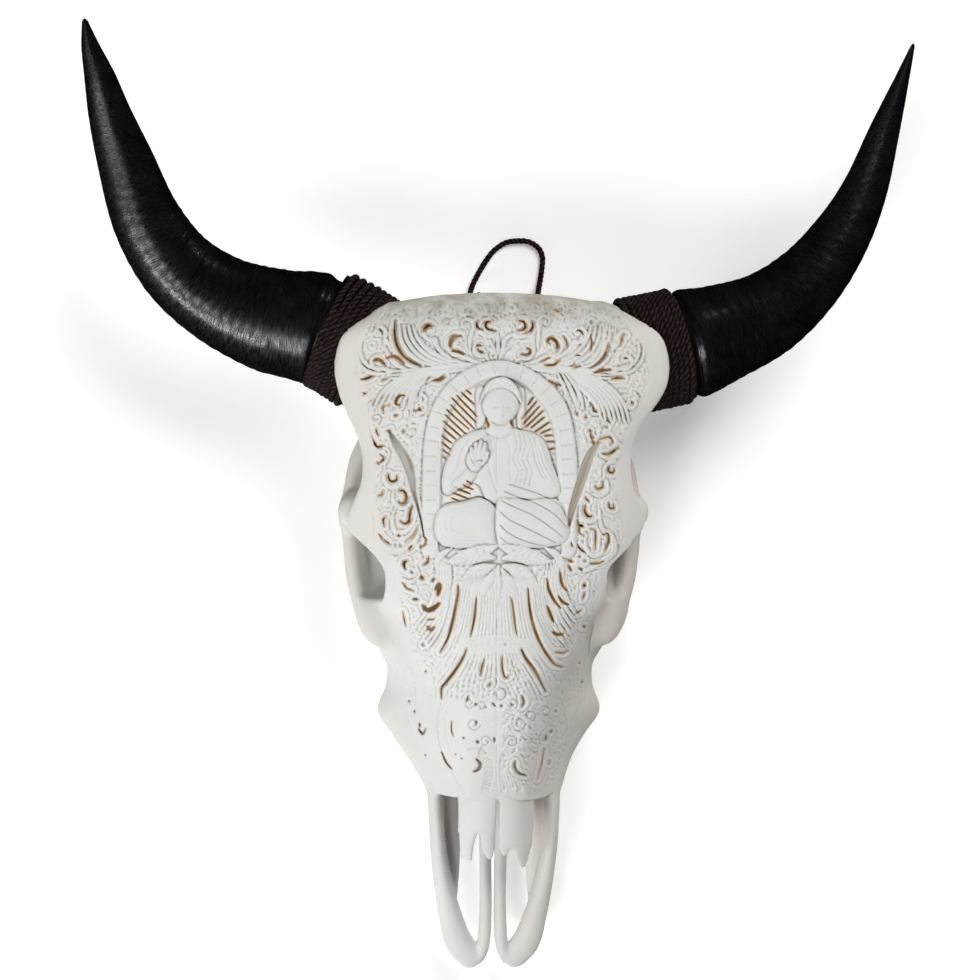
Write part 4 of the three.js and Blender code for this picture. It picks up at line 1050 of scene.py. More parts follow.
# Drilled dots: (right, down, radius)
DOTS = [
    (494, 355.3, 1.0), (386.9, 346.6, 0.9), (625.5, 357.7, 1.0), (568, 396.8, 0.8), (631.8, 403.1, 1.0),
    (591, 404.8, 0.9), (591, 322.1, 0.9), (632.2, 403.1, 1.0), (606.6, 427.2, 0.9), (395.4, 545.1, 0.7),
    (400.4, 545.1, 0.7), (412, 572.3, 1.0), (422.2, 577.7, 2.0), (579.8, 556.7, 0.8), (585.2, 561.2, 0.8),
    (584.3, 626.8, 1.4), (505.9, 644.6, 0.7), (476, 704.2, 1.2), (486.2, 707.4, 0.8), (501.5, 706.1, 1.1),
    (511.7, 704.9, 0.8), (463.9, 738, 1.0), (477.9, 741.9, 1.4), (455.6, 754, 0.8), (462, 758.4, 0.8),
    (549.4, 761.6, 0.8), (550.6, 732.3, 0.9), (426, 671.3, 1.2), (409.5, 701.2, 1.0), (414.8, 711.4, 1.0),
    (425.5, 755.2, 0.9), (423.3, 644.5, 1.0), (579.4, 663.7, 1.0), (582.5, 682, 1.1), (555.7, 711.4, 0.8),
    (551, 731.5, 0.9), (549, 764, 0.8), (553.7, 454, 0.8), (553, 460, 0.8), (552.8, 465.7, 0.8),
]

# Rays pierced behind the figure
RAYS = [
    ((466.6, 390), (471.5, 394)), ((461.7, 392.5), (474, 404)), ((457, 395.6), (477, 416)),
    ((452, 398), (476, 422)), ((451, 405), (474.6, 428.7)), ((447, 410), (469, 429)),
    ((445.6, 415), (466, 434)),
    ((443.8, 421.5), (461, 436)), ((443.4, 428.7), (456, 439)), ((442, 436), (452, 443)),
    ((442, 442.5), (450.5, 449)), ((443, 450), (449.6, 454.5)), ((443.4, 457), (446.5, 459)),
    ((533.6, 397), (528, 405)), ((537, 401), (522, 419)), ((540, 406), (523, 424.6)),
    ((544, 410), (526, 427)),
    ((545, 416.6), (531, 428)), ((549.6, 422), (535.4, 431.8)), ((551, 428.7), (540.7, 433.6)),
    ((552.8, 435), (544.7, 436)), ((555, 441.6), (547, 441.6)), ((554.6, 448), (549, 450)),
    ((466.6, 481), (472, 484)), ((463.5, 485), (473, 489.4)), ((459.5, 489.4), (470.6, 493.8)),
    ((454, 493), (468.4, 498.8)), ((452, 498), (458, 500.5)),
]


def pierce():
    for half, *points in SLOTS:
        slot(points, half)
    for u, v, r in DOTS:
        dot((u, v), r)
    for a, b in RAYS:
        slot([a, b], 0.95, ends=0.75)
    slot([(487, 420), (488.5, 424), (487.5, 428)], 1.2)
    slot([(511.5, 420), (511.2, 423), (513.5, 426)], 1.2)


ARCH_OUT = [
    (424, 556), (422, 520), (422, 480), (424, 440), (430, 412), (442, 390), (460, 373), (478, 364),
    (498, 360),
    (518, 364), (537, 373), (555, 388), (568, 408), (575, 438), (578, 480), (577, 520), (574, 556),
]
ARCH_IN = [
    (441, 556), (440, 520), (440.5, 480), (441.5, 448), (445, 424), (453, 406), (465, 392), (480, 382),
    (498, 377),
    (516, 381), (531, 390), (543, 403), (552, 421), (556, 446), (558, 480), (559, 520), (560, 556),
]


def carve_ground():
    """Lines that run round every opening, with the edges of the openings worn down."""
    u, v = US[:, None], VS[None, :]
    wander = noise2(u, v, 9.0, 11) * 0.8 + noise2(u, v, 4.0, 12) * 0.3
    d = ring + wander * smooth(ring / 4)
    turn = (d - 0.4) / 4.3
    arc = np.sqrt(np.clip(1 - (2 * (turn - np.floor(turn)) - 1) ** 2, 0, 1))
    bare = 1 - 0.85 * smooth((v - 690) / 20) * smooth((508 - u) / 10)
    rise[:] += 1.25 * bare * (arc - 0.72) * smooth((10 - ring) / 4) * smooth((ring + 0.4) / 0.8)
    rise[:] += 0.4 * bare * np.exp(-((ring - 3.2) / 3.0) ** 2)
    far = smooth((ring - 5.5) / 3) * bare
    pebbles = np.clip(noise2(u, v, 2.7, 13) + 0.15, -0.4, 1) + 0.5 * noise2(u + 31, v, 1.6, 14)
    rise[:] += 0.55 * far * pebbles
    pitted = smooth((323 - v) / 8)
    rise[:] += pitted * (0.9 * noise2(u, v, 2.6, 15) - 0.3)


def plain(points, amount=1.0, soft=4.0):
    """Smooths the ground inside an outline."""
    cut, d = within(points, soft + 3)
    mask = smooth(d / soft) * amount
    rise[cut] *= 1 - mask


def carve_crown():
    for flip in (list, lambda pts: mirror(pts, MIDDLE + 1.5)):
        # fronds that rise on both sides of the long slot
        strands(flip([(446, 366.5), (428, 363.5), (415, 358), (406.5, 350), (401, 340), (399, 326),
                (399.5, 311)]),
                flip([(464, 363), (446, 358.5), (431, 352), (420.5, 342.5), (414.5, 332), (412, 322),
                (412.5, 312)]), 4, [0.8, 1.8, 2.0, 2.0, 1.7, 0.9], 1.4)
        strands(flip([(434, 370.5), (414, 368), (402, 361), (393.5, 350), (390, 338), (389.5, 324),
                (391, 311)]),
                flip([(426, 372), (408, 370.5), (396, 364), (388, 354), (384.5, 341), (384, 327),
                (386, 315)]), 2, [0.8, 1.7, 1.9, 1.9, 1.6, 0.8], 1.3)
        # stem from the middle out to the temples, and the strands that turn up from it
        strands(flip([(488, 366), (466, 364.5), (446, 367), (426, 369.5), (404, 371), (384, 372.5),
                (366, 372)]),
                flip([(480, 370), (462, 369.5), (446, 371.5), (424, 375), (404, 378), (386, 378.5),
                (370, 377)]), 3, [0.7, 1.8, 2.0, 2.0, 1.8, 0.9], 1.3)
        strands(flip([(392, 373), (370, 372.5), (358.5, 363), (355, 349), (358, 337), (366, 330.5)]),
                flip([(388, 368), (371, 367), (362.5, 359), (359.8, 349), (362, 340), (368, 335)]),
                2, [0.8, 1.8, 1.8, 1.6, 0.8], 1.2)
        ribbon(flip([(440, 376), (427, 380), (417, 389), (412, 401), (411, 416)]),
                [0.8, 2.2, 2.6, 2.0, 0.8], 3, 1.1)
        ribbon(flip([(425, 384), (421, 394), (421, 404), (423, 414)]), [0.6, 1.6, 1.6, 0.6], 2, 0.9)
    # rolled ends of the crown, left and right of the middle
    for tail, at, radius, start, hand in (
            ([(484, 364), (472, 360.5), (466, 357.5)], (457, 344), 11.5, 70, 1),
            ([(452, 359), (441, 352), (436, 344)], (430.5, 331), 9.5, 60, 1),
            ([(490, 362), (487, 358)], (480, 348.5), 8, 50, 1),
            ([(497, 352), (498, 344), (497.5, 337)], (488, 325.5), 12, 45, 1),
            ([(470, 350), (470, 340)], (466, 325), 8, 40, -1),
            ([(400, 371), (390, 371)], (378, 361), 9, 60, 1),
            ([(391, 352), (388, 344)], (379, 333), 7.5, 40, -1),
            ([(424, 378), (410, 384), (405, 389)], (398.5, 400.5), 10, -60, -1),
            ([(420, 392), (426, 399)], (420, 408.5), 6.5, -50, 1),
            ([(374, 400), (370, 404)], (376, 418), 7, -120, -1),
            ([(524, 364), (536, 361), (543, 357.5)], (553, 345), 11.5, 110, -1),
            ([(556, 359), (566, 352), (573, 344)], (578.5, 333.5), 9.5, 120, -1),
            ([(514, 363), (519, 359)], (527, 351.5), 8, 130, -1),
            ([(503, 352), (503, 344), (507, 338)], (521, 326), 12, 135, -1),
            ([(538, 350), (538, 340)], (545, 322), 8, 140, 1),
            ([(602, 372), (612, 371.5)], (625, 361), 9, 120, -1),
            ([(612, 352), (616, 346)], (625, 337), 8, 140, 1),
            ([(568, 382), (582, 388), (589, 396)], (594.5, 408.5), 10, -120, 1),
            ([(634, 392), (637, 398)], (630, 404), 6.5, -60, 1),
            ([(598, 424), (600, 430)], (592, 435), 7, -40, 1)):
        scroll(tail, at, radius, start, hand)
    # flower over the middle
    for tip in ((498, 335), (489, 338), (507, 338), (484, 346), (512, 346)):
        ribbon([(498, 362), ((498 + tip[0]) / 2, 350), tip], [0.8, 2.0, 0.5], 1, 0.9)
    # strands that sweep down on both sides
    strands([(560, 372), (590, 377), (613, 391), (627, 412), (632, 442)],
            [(566, 381), (580, 388), (592, 399), (600, 414), (603, 430)], 7, [0.8, 2.0, 2.1, 2.0, 0.9])
    strands([(566, 374), (576, 388), (582, 402), (584, 418)],
            [(558, 374), (564, 388), (569, 402), (572, 418)],
            3, [0.8, 1.9, 1.8, 0.7], 1.0)
    strands([(446, 371), (418, 373), (393, 383), (377, 400), (369, 426)],
            [(438, 378), (425, 381), (415, 389), (410, 401), (409, 418)], 7, [0.8, 2.0, 2.1, 2.0, 0.9])
    comb([(612, 330), (628, 342), (636, 360), (634, 380), (622, 392)], -5, -0.5, 3.0, 0.5)
    comb([(372, 330), (364, 344), (362, 358)], 0.5, 5, 3.0, 0.4)
    # small volutes that are cut in but not pierced
    for u, v, r, start, hand in (
            (447, 322, 5, 120, 1), (560, 318, 5, 60, -1), (372, 328, 5, 340, -1), (609, 352, 6, 20, -1),
            (412, 431, 8, 300, -1), (602, 326, 5, 120, 1), (498, 317, 5, 90, 1)):
        volute((u, v), r, start, hand)


def carve_panels():
    # left eye panel: scrolls in a chain down its edge
    ribbon([(372, 425), (366, 440), (372, 456), (384, 463), (389, 452), (382, 446)],
            [1.0, 1.8, 2.0, 1.6, 0.8], 2, 1.0)
    ribbon([(385, 465), (384, 480), (392, 488), (403, 482), (402, 471)], [0.8, 1.8, 1.8, 1.6, 0.7], 2, 1.0)
    ribbon([(394, 488), (393, 500), (400, 508), (410, 504), (412, 492)], [0.8, 1.8, 1.8, 1.6, 0.7], 2, 1.0)
    ribbon([(396, 506), (392, 520), (396, 532), (408, 530), (416, 516), (417, 502)],
           [0.8, 1.8, 2.2, 2.0, 1.6, 0.7], 2, 1.0)
    ribbon([(378, 510), (374, 526), (378, 542), (392, 551), (408, 548), (418, 536), (423, 520)],
           [0.8, 2.0, 2.6, 2.8, 2.6, 2.0, 0.8], 4, 1.1)
    ribbon([(398, 563), (399, 576), (410, 582), (419, 575), (415, 565)], [0.8, 1.6, 1.8, 1.4, 0.7], 2, 1.0)
    strands([(450, 560), (450, 582), (447, 604), (440, 628), (428, 648), (412, 660)],
            [(438, 552), (437, 576), (433, 598), (425, 614), (415, 626), (404, 634)],
            6, [0.8, 1.7, 2.0, 2.0, 1.8, 0.7], 1.15)
    comb([(412, 425), (416, 440), (412, 452)], -5, -0.5, 2.6, 0.5)
    comb([(404, 450), (400, 462), (402, 480), (410, 498)], -4, -0.5, 2.6, 0.35)
    # right eye panel
    comb([(594, 432), (586, 438), (584, 450), (590, 460)], -6, -0.5, 2.6, 0.5)
    ribbon([(600, 455), (612, 460), (620, 454), (621, 444)], [0.8, 1.8, 1.6, 0.7], 2, 1.0)
    ribbon([(604, 480), (606, 466), (614, 462), (620, 470), (616, 480)], [0.8, 1.8, 1.8, 1.5, 0.7], 2, 1.0)
    ribbon([(592, 494), (600, 496), (608, 490), (607, 480)], [0.8, 1.8, 1.6, 0.7], 2, 1.0)
    ribbon([(582, 500), (580, 514), (588, 522), (598, 518), (599, 507)], [0.8, 1.8, 1.8, 1.5, 0.7], 2, 1.0)
    ribbon([(600, 510), (602, 528), (612, 538), (614, 552), (602, 562), (588, 570), (572, 572)],
           [0.8, 2.0, 2.6, 2.8, 2.4, 2.0, 0.8], 3, 1.1)
    ribbon([(586, 534), (586, 548), (594, 556), (603, 552), (603, 540)], [0.8, 1.8, 2.0, 1.6, 0.7], 2, 1.0)
    strands([(548, 562), (547, 584), (550, 606), (557, 630), (568, 650), (582, 660)],
            [(566, 548), (562, 572), (565, 594), (573, 610), (582, 620), (592, 626)],
            6, [0.8, 1.7, 2.0, 2.0, 1.8, 0.7], 1.15)
    comb([(572, 594), (580, 588), (590, 590), (594, 600)], -5, -0.5, 2.6, 0.5)


def pushed_out(points, out, up):
    """An arch's line moved away from its middle and up."""
    return [(u + out * math.copysign(1, u - MIDDLE) * min(1, abs(u - MIDDLE) / 30), v - up)
            for u, v in points]


def carve_arch():
    level(ARCH_OUT + [(568, 560), (430, 560)], 0.35, 2.0)
    mound(ARCH_OUT + ARCH_IN[::-1], 1.15, 3.0, base=0.1, edge=0.7)
    groove(ARCH_OUT, 0.5, 0.8)
    groove(pushed_out(ARCH_IN, 2.6, 2.4), 0.45, 0.6)
    middle = curve([((a[0] + b[0]) / 2, (a[1] + b[1]) / 2) for a, b in zip(ARCH_OUT, ARCH_IN)], 1.0)
    s = walked(middle)
    along = unit(np.gradient(middle, axis=0))
    for at in np.arange(12, s[-1] - 8, 14.6):
        i = int(np.searchsorted(s, at))
        across = np.array([-along[i][1], along[i][0]])
        groove_path(np.array([middle[i] - across * 9, middle[i] + across * 6]), 0.6, 0.55, 1.5)
    comb(ARCH_OUT, -4, -0.6, 3.1, 0.45)
    groove(pushed_out(ARCH_IN, 5.4, 4.6), 0.35, 0.5)
    # ground behind the figure
    level([(u + 0.3 * (MIDDLE - u) / 60, v + 0.5) for u, v in ARCH_IN], -0.9, 1.2)


def trough(points, half, depth, trough_shade):
    """Smooth bare hollow with soft edges, and painted brown shade in its depth."""
    path = curve(points, 1.0)
    cut, near, _, along, length = track(path, 9)
    breadth = np.interp(along, np.linspace(0, length, len(half)), half)
    t = near / breadth
    mask = smooth((1.15 - t) / 0.35)
    bowl = np.sqrt(np.clip(1 - (0.87 * t) ** 2, 0, 1))
    rise[cut] = rise[cut] * (1 - mask) - depth * bowl * mask
    trough_shade_table[cut] = np.maximum(trough_shade_table[cut], trough_shade * smooth((1 - t) / 0.7))


def carve_troughs():
    trough([(389, 431), (396, 443), (403, 454), (408, 465), (411.5, 477), (413.5, 490), (417, 504),
            (421, 520), (424, 536)], [1.4, 4.6, 5.6, 5.4, 4.0, 2.2, 1.3, 0.9, 0.5], 3.2, 0.45)
    trough([(402, 448), (407, 456), (411, 465), (413.6, 476)], [0.6, 2.4, 2.9, 0.5], 4.2, 1.5)
    trough([(599, 442), (592, 452), (587.5, 462), (583.5, 474), (579, 488), (575, 500), (571.5, 512),
           (568, 528)], [1.2, 3.8, 4.6, 4.6, 4.2, 3.6, 3.0, 1.2], 4.0, 1.35)
    # crumbled edge of the arch along the right trough
    comb([(590, 450), (581, 470), (575, 488), (570, 502), (566, 520)], -3.4, -0.2, 3.4, 0.9)
    comb([(397, 436), (409, 450), (416, 470), (418, 492), (423, 516)], -3.0, -0.2, 3.2, 0.6)


def carve_figure():
    # ears and hair
    mound([(477, 388), (482, 386), (485, 400), (486, 416), (483, 426), (478, 428), (476, 410)], 1.5, 2.5,
            -0.6)
    mound([(519, 388), (523, 388), (525, 404), (525, 420), (523, 428), (518, 427), (517, 410)], 1.5, 2.5,
            -0.6)
    # body, arms, robe
    mound([(486, 429), (475, 431), (463.5, 435.6), (455.6, 442.3), (450.8, 451), (446, 461.4), (442.2, 474.8),
           (441.3, 484.4), (443, 492), (449, 495), (458, 490), (470, 482), (480, 486), (486, 500), (500, 504),
           (520, 500), (544, 500), (560, 494), (558, 478), (552.3, 463.3), (548.4, 449), (542.7, 439.4),
           (533, 433), (520, 430), (510, 428), (504, 432), (492, 432)], 2.6, 12, -0.7, 0.7)
    mound([(489, 416), (508, 416), (511, 424), (512, 432), (498, 438), (486, 432), (487, 424)], 1.4, 4, 0.7,
            0.3)
    groove([(470, 437), (462, 450), (458, 464), (452, 476)], 0.5, 1.4)
    groove([(487, 432), (490, 446), (488, 462), (492, 478), (497, 494)], 0.4, 1.0)
    mound([(452, 484), (462, 474), (472, 466), (478, 471), (474, 480), (462, 488)], 1.2, 5, 1.2, 0.5)
    # raised hand
    mound([(466, 462), (467, 455), (471, 448), (474, 443.5), (478, 441.8), (482, 441.4), (486, 444),
           (487.5, 450), (487, 457), (483, 465), (478.6, 471), (471.9, 471)], 1.9, 4.5, 1.7, 0.6)
    for tip, root in (((471.2, 448.5), (474.2, 460)), ((475.4, 443.6), (477, 458.5)),
                      ((480.2, 441.6), (480, 458)), ((485, 444.4), (483.4, 458.5))):
        middle = ((tip[0] + root[0]) / 2 - 0.5, (tip[1] + root[1]) / 2)
        ribbon([tip, middle, root], [1.4, 1.9, 1.7], 1, 1.2, base=3.1)
    ribbon([(487.5, 453), (485.5, 459), (482, 464)], [1.3, 1.8, 1.6], 1, 1.1, base=3.3)
    groove([(468, 458), (474, 463), (477, 469)], 0.4, 0.6)
    groove([(463, 446), (455, 462), (449, 480)], 0.3, 1.0)
    # right arm and robe folds
    groove([(534, 436), (537, 452), (541, 466), (548, 480)], 0.55, 0.9)
    # two hanging folds of the robe with small cross folds between them, and the sleeve
    for shift in (0, 4.5, 9, 14):
        groove([(514 + shift, 432), (517 + shift, 445), (513.5 + shift, 458), (518 + shift, 471),
                (514.5 + shift, 487)], 0.5, 0.75)
    for v in (447, 457, 467, 477):
        groove([(518, v), (522.5, v + 3.2), (528, v + 1)], 0.4, 0.6, 1.5)
    fan([(536, 438), (540, 452), (545, 466), (554, 481)], [(545, 443), (551, 456), (555, 468), (558, 478)],
        3, 0.5, 0.75)
    groove([(532, 440), (534, 454), (538, 468), (546, 481)], 0.6, 0.8)
    groove([(506, 437), (510, 452), (509, 468), (512, 484)], 0.3, 0.8)
    # legs
    mound([(437.4, 512), (434, 524), (435, 536), (442.2, 545), (457, 548), (472, 548), (488, 548), (498, 548),
           (498, 520), (495.8, 509), (490, 502), (478.6, 497.8), (463.3, 501.6), (446, 504.4)], 3.6, 16,
           -0.4, 0.7)
    mound([(498, 500), (512, 498), (530, 500), (548, 498), (560, 502), (566, 516), (570, 530), (566.6, 541),
           (549.4, 547), (528.3, 548), (511, 548), (498, 546)], 3.2, 16, -0.4, 0.6)
    for k in range(3):
        f = 1 - 0.22 * k
        loop = [(466 + (u - 466) * f, 524 + (v - 524) * f) for u, v in
                ((486, 508), (466, 507), (446, 511), (440, 524), (446, 537), (466, 541), (484, 540))]
        groove(loop, 0.3, 0.9)
    # bold folds that sweep over the right leg
    for fold in (
            [(508, 484), (524, 489), (541, 495), (560, 506), (567, 518)],
            [(503, 491), (518, 497), (537, 504), (556, 516), (567, 528)],
            [(500, 500), (514, 507), (532, 515), (550, 527), (564, 538)],
            [(499, 511), (510, 520), (526, 528), (544, 537), (558, 544)],
            [(499, 524), (507, 532), (520, 539), (535, 544), (548, 546)],
            [(499, 536), (506, 542), (516, 546), (528, 548)]):
        groove(fold, 1.05, 0.8)
        groove([(u - 1.6, v + 2.6) for u, v in fold[1:]], 0.35, 0.7)
        groove([(u + 1.8, v - 2.4) for u, v in fold[:-1]], -0.35, 1.3)
    groove([(444, 504.4), (463.3, 500.6), (478.6, 497), (492, 502.5), (497, 511)], 0.6, 0.9)
    groove([(450, 492), (462, 494), (474, 492), (486, 494)], 0.4, 0.8)
    carve_head()


def carve_head():
    at = (500.6, 406.0)
    face = [(at[0] + 18.6 * math.cos(a) * (1 - 0.16 * max(0, math.sin(a)) ** 2),
             at[1] - 1 + 20.5 * math.sin(a)) for a in np.linspace(0, 2 * np.pi, 22, endpoint=False)]
    mound(face, 3.2, 14, 0.3, 0.7)
    # hair: low rows of curls round the forehead that run up into the arch
    cap = [(479.5, 404), (481.5, 393), (486.5, 384), (493, 379), (500.6, 377.4), (508, 379), (514.5, 384),
           (519.5, 393), (521.5, 404), (513, 393), (500.6, 388.4), (488, 393)]
    mound(cap, 1.5, 3.0, 1.9, 0.15)
    cut, d = within(cap, 3)
    u, v = US[cut[0]][:, None], VS[cut[1]][None, :]
    out = np.hypot(u - at[0], v - at[1])
    turn = np.arctan2(v - at[1], u - at[0])
    curls = np.cos(2 * np.pi * out / 3.4) * np.cos(turn * 22)
    rise[cut] += 0.4 * curls * smooth(d / 1.2)
    rise_add((500.6, 375), (15, 6), 1.5)
    # brows, closed lids, nose, lips
    for hand in (-1, 1):
        x = lambda q: at[0] + hand * q
        rise_add((x(6.6), 407.5), (4.6, 2.6), -0.5)
        rise_add((x(6.6), 409.4), (3.4, 1.5), 0.45)
        groove([(x(3.4), 410.2), (x(6.6), 411.2), (x(10.0), 410.0)], 0.5, 0.5, 1.5)
        groove([(x(2.6), 404.6), (x(6.4), 402.6), (x(11.2), 404.4)], 0.3, 0.6, 2)
        rise_add((x(8.6), 415.5), (4.0, 3.6), 0.25)
        groove([(x(2.0), 417.4), (x(2.9), 416.0), (x(2.4), 414.6)], 0.3, 0.45, 1)
    rise_add((at[0], 409.5), (1.5, 5.6), 0.75)
    rise_add((at[0], 415.6), (2.3, 1.8), 0.6)
    rise_add((at[0], 420.0), (3.6, 0.9), 0.3)
    groove([(at[0] - 4, 420.6), (at[0] - 1.4, 420.9), (at[0], 421.2), (at[0] + 1.4, 420.9),
           (at[0] + 4, 420.6)], 0.5, 0.45, 1.5)
    rise_add((at[0], 422.2), (2.6, 0.9), 0.3)
    rise_add((at[0], 425.0), (3.2, 1.8), 0.3)


def rise_add(at, radii, amount):
    cut = part_of(np.subtract(at, np.multiply(radii, 3)), np.add(at, np.multiply(radii, 3)))
    q = ((US[cut[0]][:, None] - at[0]) / radii[0]) ** 2 + ((VS[cut[1]][None, :] - at[1]) / radii[1]) ** 2
    rise[cut] += amount * np.exp(-q)


def leaf(points, halves, veins=7, height=1.3, base=0.3):
    """Broad leaf with a midrib and veins that run forward to its edge."""
    path = curve(points, 1.0)
    cut, near, side, along, length = track(path, max(halves) + 2)
    half = np.maximum(np.interp(along, np.linspace(0, length, len(halves)), halves), 0.2)
    t = np.clip(np.abs(side) / half, 0, 1)
    crown = height * np.sqrt(np.clip(1 - 0.9 * t * t, 0, 1)) * smooth(half / 2)
    vein = (0.5 + 0.5 * np.cos(2 * np.pi * (along - np.abs(side) * 0.9) * veins / length)) ** 3
    rib = np.exp(-(side / 0.6) ** 2)
    mask = smooth((half - near) / 0.8 + 0.5)
    rise[cut] = rise[cut] * (1 - mask) + (base + crown - 0.4 * vein * (1 - rib) - 0.45 * rib) * mask
    rise[cut] -= 0.3 * np.exp(-((near - half - 0.6) / 0.6) ** 2)


def carve_leaves():
    for flip in (list, lambda pts: mirror(pts, MIDDLE + 1)):
        leaf(flip([(497, 546), (484, 550), (470, 553), (458, 552)]), [2, 6, 7, 5, 1], 7, 1.0, 0.2)
        leaf(flip([(494, 558), (480, 556), (464, 558), (446, 562)]), [2, 6, 8, 6, 1], 8, 1.2, 0.3)
        leaf(flip([(494, 566), (482, 570), (470, 577), (460, 586)]), [2, 6, 8, 5, 1], 7, 1.2, 0.5)
        leaf(flip([(496, 570), (490, 580), (484, 590), (482, 600)]), [2, 4, 4, 3, 0.8], 6, 1.0, 0.3)
        leaf(flip([(452, 548), (444, 553), (438, 560), (436, 570)]), [1, 3.4, 3.6, 0.8], 4, 0.9, 0.3)
    ribbon([(498, 566), (498, 580), (498, 604)], [1.2, 3.4, 0.8], 2, 1.2)


def carve_skirt():
    # straight fibres that gather at the belt and spread again below it
    plain([(444, 590), (442, 640), (466, 660), (530, 660), (552, 650), (552, 590), (520, 575), (476, 575)],
            0.7)
    fan([(452, 582), (449, 606), (442, 630), (428, 652)], [(470, 590), (466, 612), (462, 630), (454, 650)],
        7, 0.75, 0.6)
    fan([(471, 592), (469, 612), (465, 632), (462, 640)], [(497, 596), (497, 612), (497, 626), (497, 636)],
        10, 0.62, 0.55)
    fan([(499, 596), (499, 612), (499, 626), (499, 636)], [(524, 590), (526, 610), (530, 628), (534, 642)],
        10, 0.62, 0.55)
    fan([(531, 588), (536, 612), (546, 634), (562, 654)], [(546, 584), (550, 606), (560, 624), (574, 636)],
        7, 0.75, 0.6)
    fan([(466, 654), (458, 668), (448, 682), (446, 700)], [(496, 652), (496, 668), (496, 684), (494, 698)],
        10, 0.62, 0.55)
    fan([(500, 652), (502, 668), (506, 684), (514, 700)], [(524, 652), (534, 668), (546, 684), (552, 702)],
        9, 0.62, 0.55)
    fan([(430, 654), (438, 664), (444, 672), (436, 690)], [(408, 662), (414, 680), (416, 700), (414, 720)],
        4, 0.25, 0.8)
    fan([(556, 668), (562, 690), (566, 716), (566, 744)], [(584, 652), (586, 680), (582, 712), (574, 744)],
        7, 0.3, 0.8)
    for v in (634, 637.2, 640.4, 643.6, 646.8, 650):
        reach = 30 - abs(v - 642) * 0.5
        groove([(498 - reach, v + 2.0), (498 - reach / 2, v + 0.4), (498, v), (498 + reach / 2, v + 0.4),
                (498 + reach, v + 2.0)], 0.12, 0.6)
    for points in (((440, 652), (452, 642), (458, 624)), ((560, 668), (548, 656), (540, 640))):
        groove(points, 0.4, 0.8)


def carve_nose():
    for u, v, r, start, hand in (
            (470, 703, 6, 0, 1), (482, 706, 5, 180, 1), (514, 703, 6, 180, -1), (503, 694, 5, 90, 1),
            (474, 724, 7, 0, 1), (520, 724, 8, 180, -1), (536, 738, 7, 0, 1), (512, 742, 7, 180, 1),
            (530, 716, 6, 90, -1), (486, 742, 6, 0, -1), (545, 712, 6, 180, 1)):
        volute((u, v), r, start, hand, 1.2)
    cut = part_of((500, 705), (560, 765))
    u, v = US[cut[0]][:, None], VS[cut[1]][None, :]
    d = np.hypot((u - 526) / 26, (v - 734) / 28)
    pits = noise2(u, v, 2.2, 31) + 0.6 * noise2(u + 40, v, 1.5, 32)
    rise[cut] -= 0.6 * np.clip(pits, 0, 1) * smooth((1.1 - d) / 0.35)
    for at in ((508, 716), (517, 719), (527, 714), (511, 726), (522, 730), (533, 726), (508, 738), (518, 742),
               (529, 741), (538, 734), (512, 750), (524, 753), (535, 751)):
        groove(spiral(at, 3.6, 1.2, 40 * at[0] % 360, 1), 0.6, 0.6, 1)
        rise_add(at, (1.3, 1.3), 0.45)
    mound([(497, 694), (499, 689.5), (503, 689.5), (505.5, 694), (503, 698.5), (499, 698.5)], 1.1, 3, 0.3,
            0.5)
    # shield edge and shell lobes
    groove([(441, 700), (438, 716), (438, 736), (442, 752), (451, 770)], 0.5, 0.9)
    groove([(448, 704), (445, 720), (446, 738), (451, 752)], 0.35, 0.8)
    groove([(562, 702), (566, 724), (564, 746), (556, 772)], 0.35, 0.9)
    comb([(488, 754), (494, 764), (494.6, 776), (491, 790)], 0.5, 10, 2.9, 0.75)
    # ribbed shell right of the joint
    fan([(500, 758), (500.5, 776), (502, 793)], [(502, 752), (518, 764), (532, 786)], 10, 0.5, 0.7, 5)
    groove([(500.3, 791), (506.6, 796.7), (516.8, 799.9), (527, 799.9), (534.7, 793.5)], 0.5, 0.8)
    groove([(452, 772), (462, 790), (476, 799), (492, 800)], 0.35, 0.9)
    groove([(497, 770), (490, 756), (478, 749), (466, 750)], 0.4, 0.8)
    groove([(503, 768), (514, 752), (530, 750), (542, 762), (540, 780)], 0.4, 0.8)
    # wide faint sweeps on the cheeks
    for shift in (0, 3.4, 6.8):
        groove([(404 + shift, 664), (398 + shift, 690), (402 + shift, 720), (412 + shift, 748),
               (424 + shift, 776)], 0.22, 0.9, 8)
        groove([(590 - shift, 664), (588 - shift, 690), (583 - shift, 720), (574 - shift, 746),
               (564 - shift, 776)], 0.22, 0.9, 8)


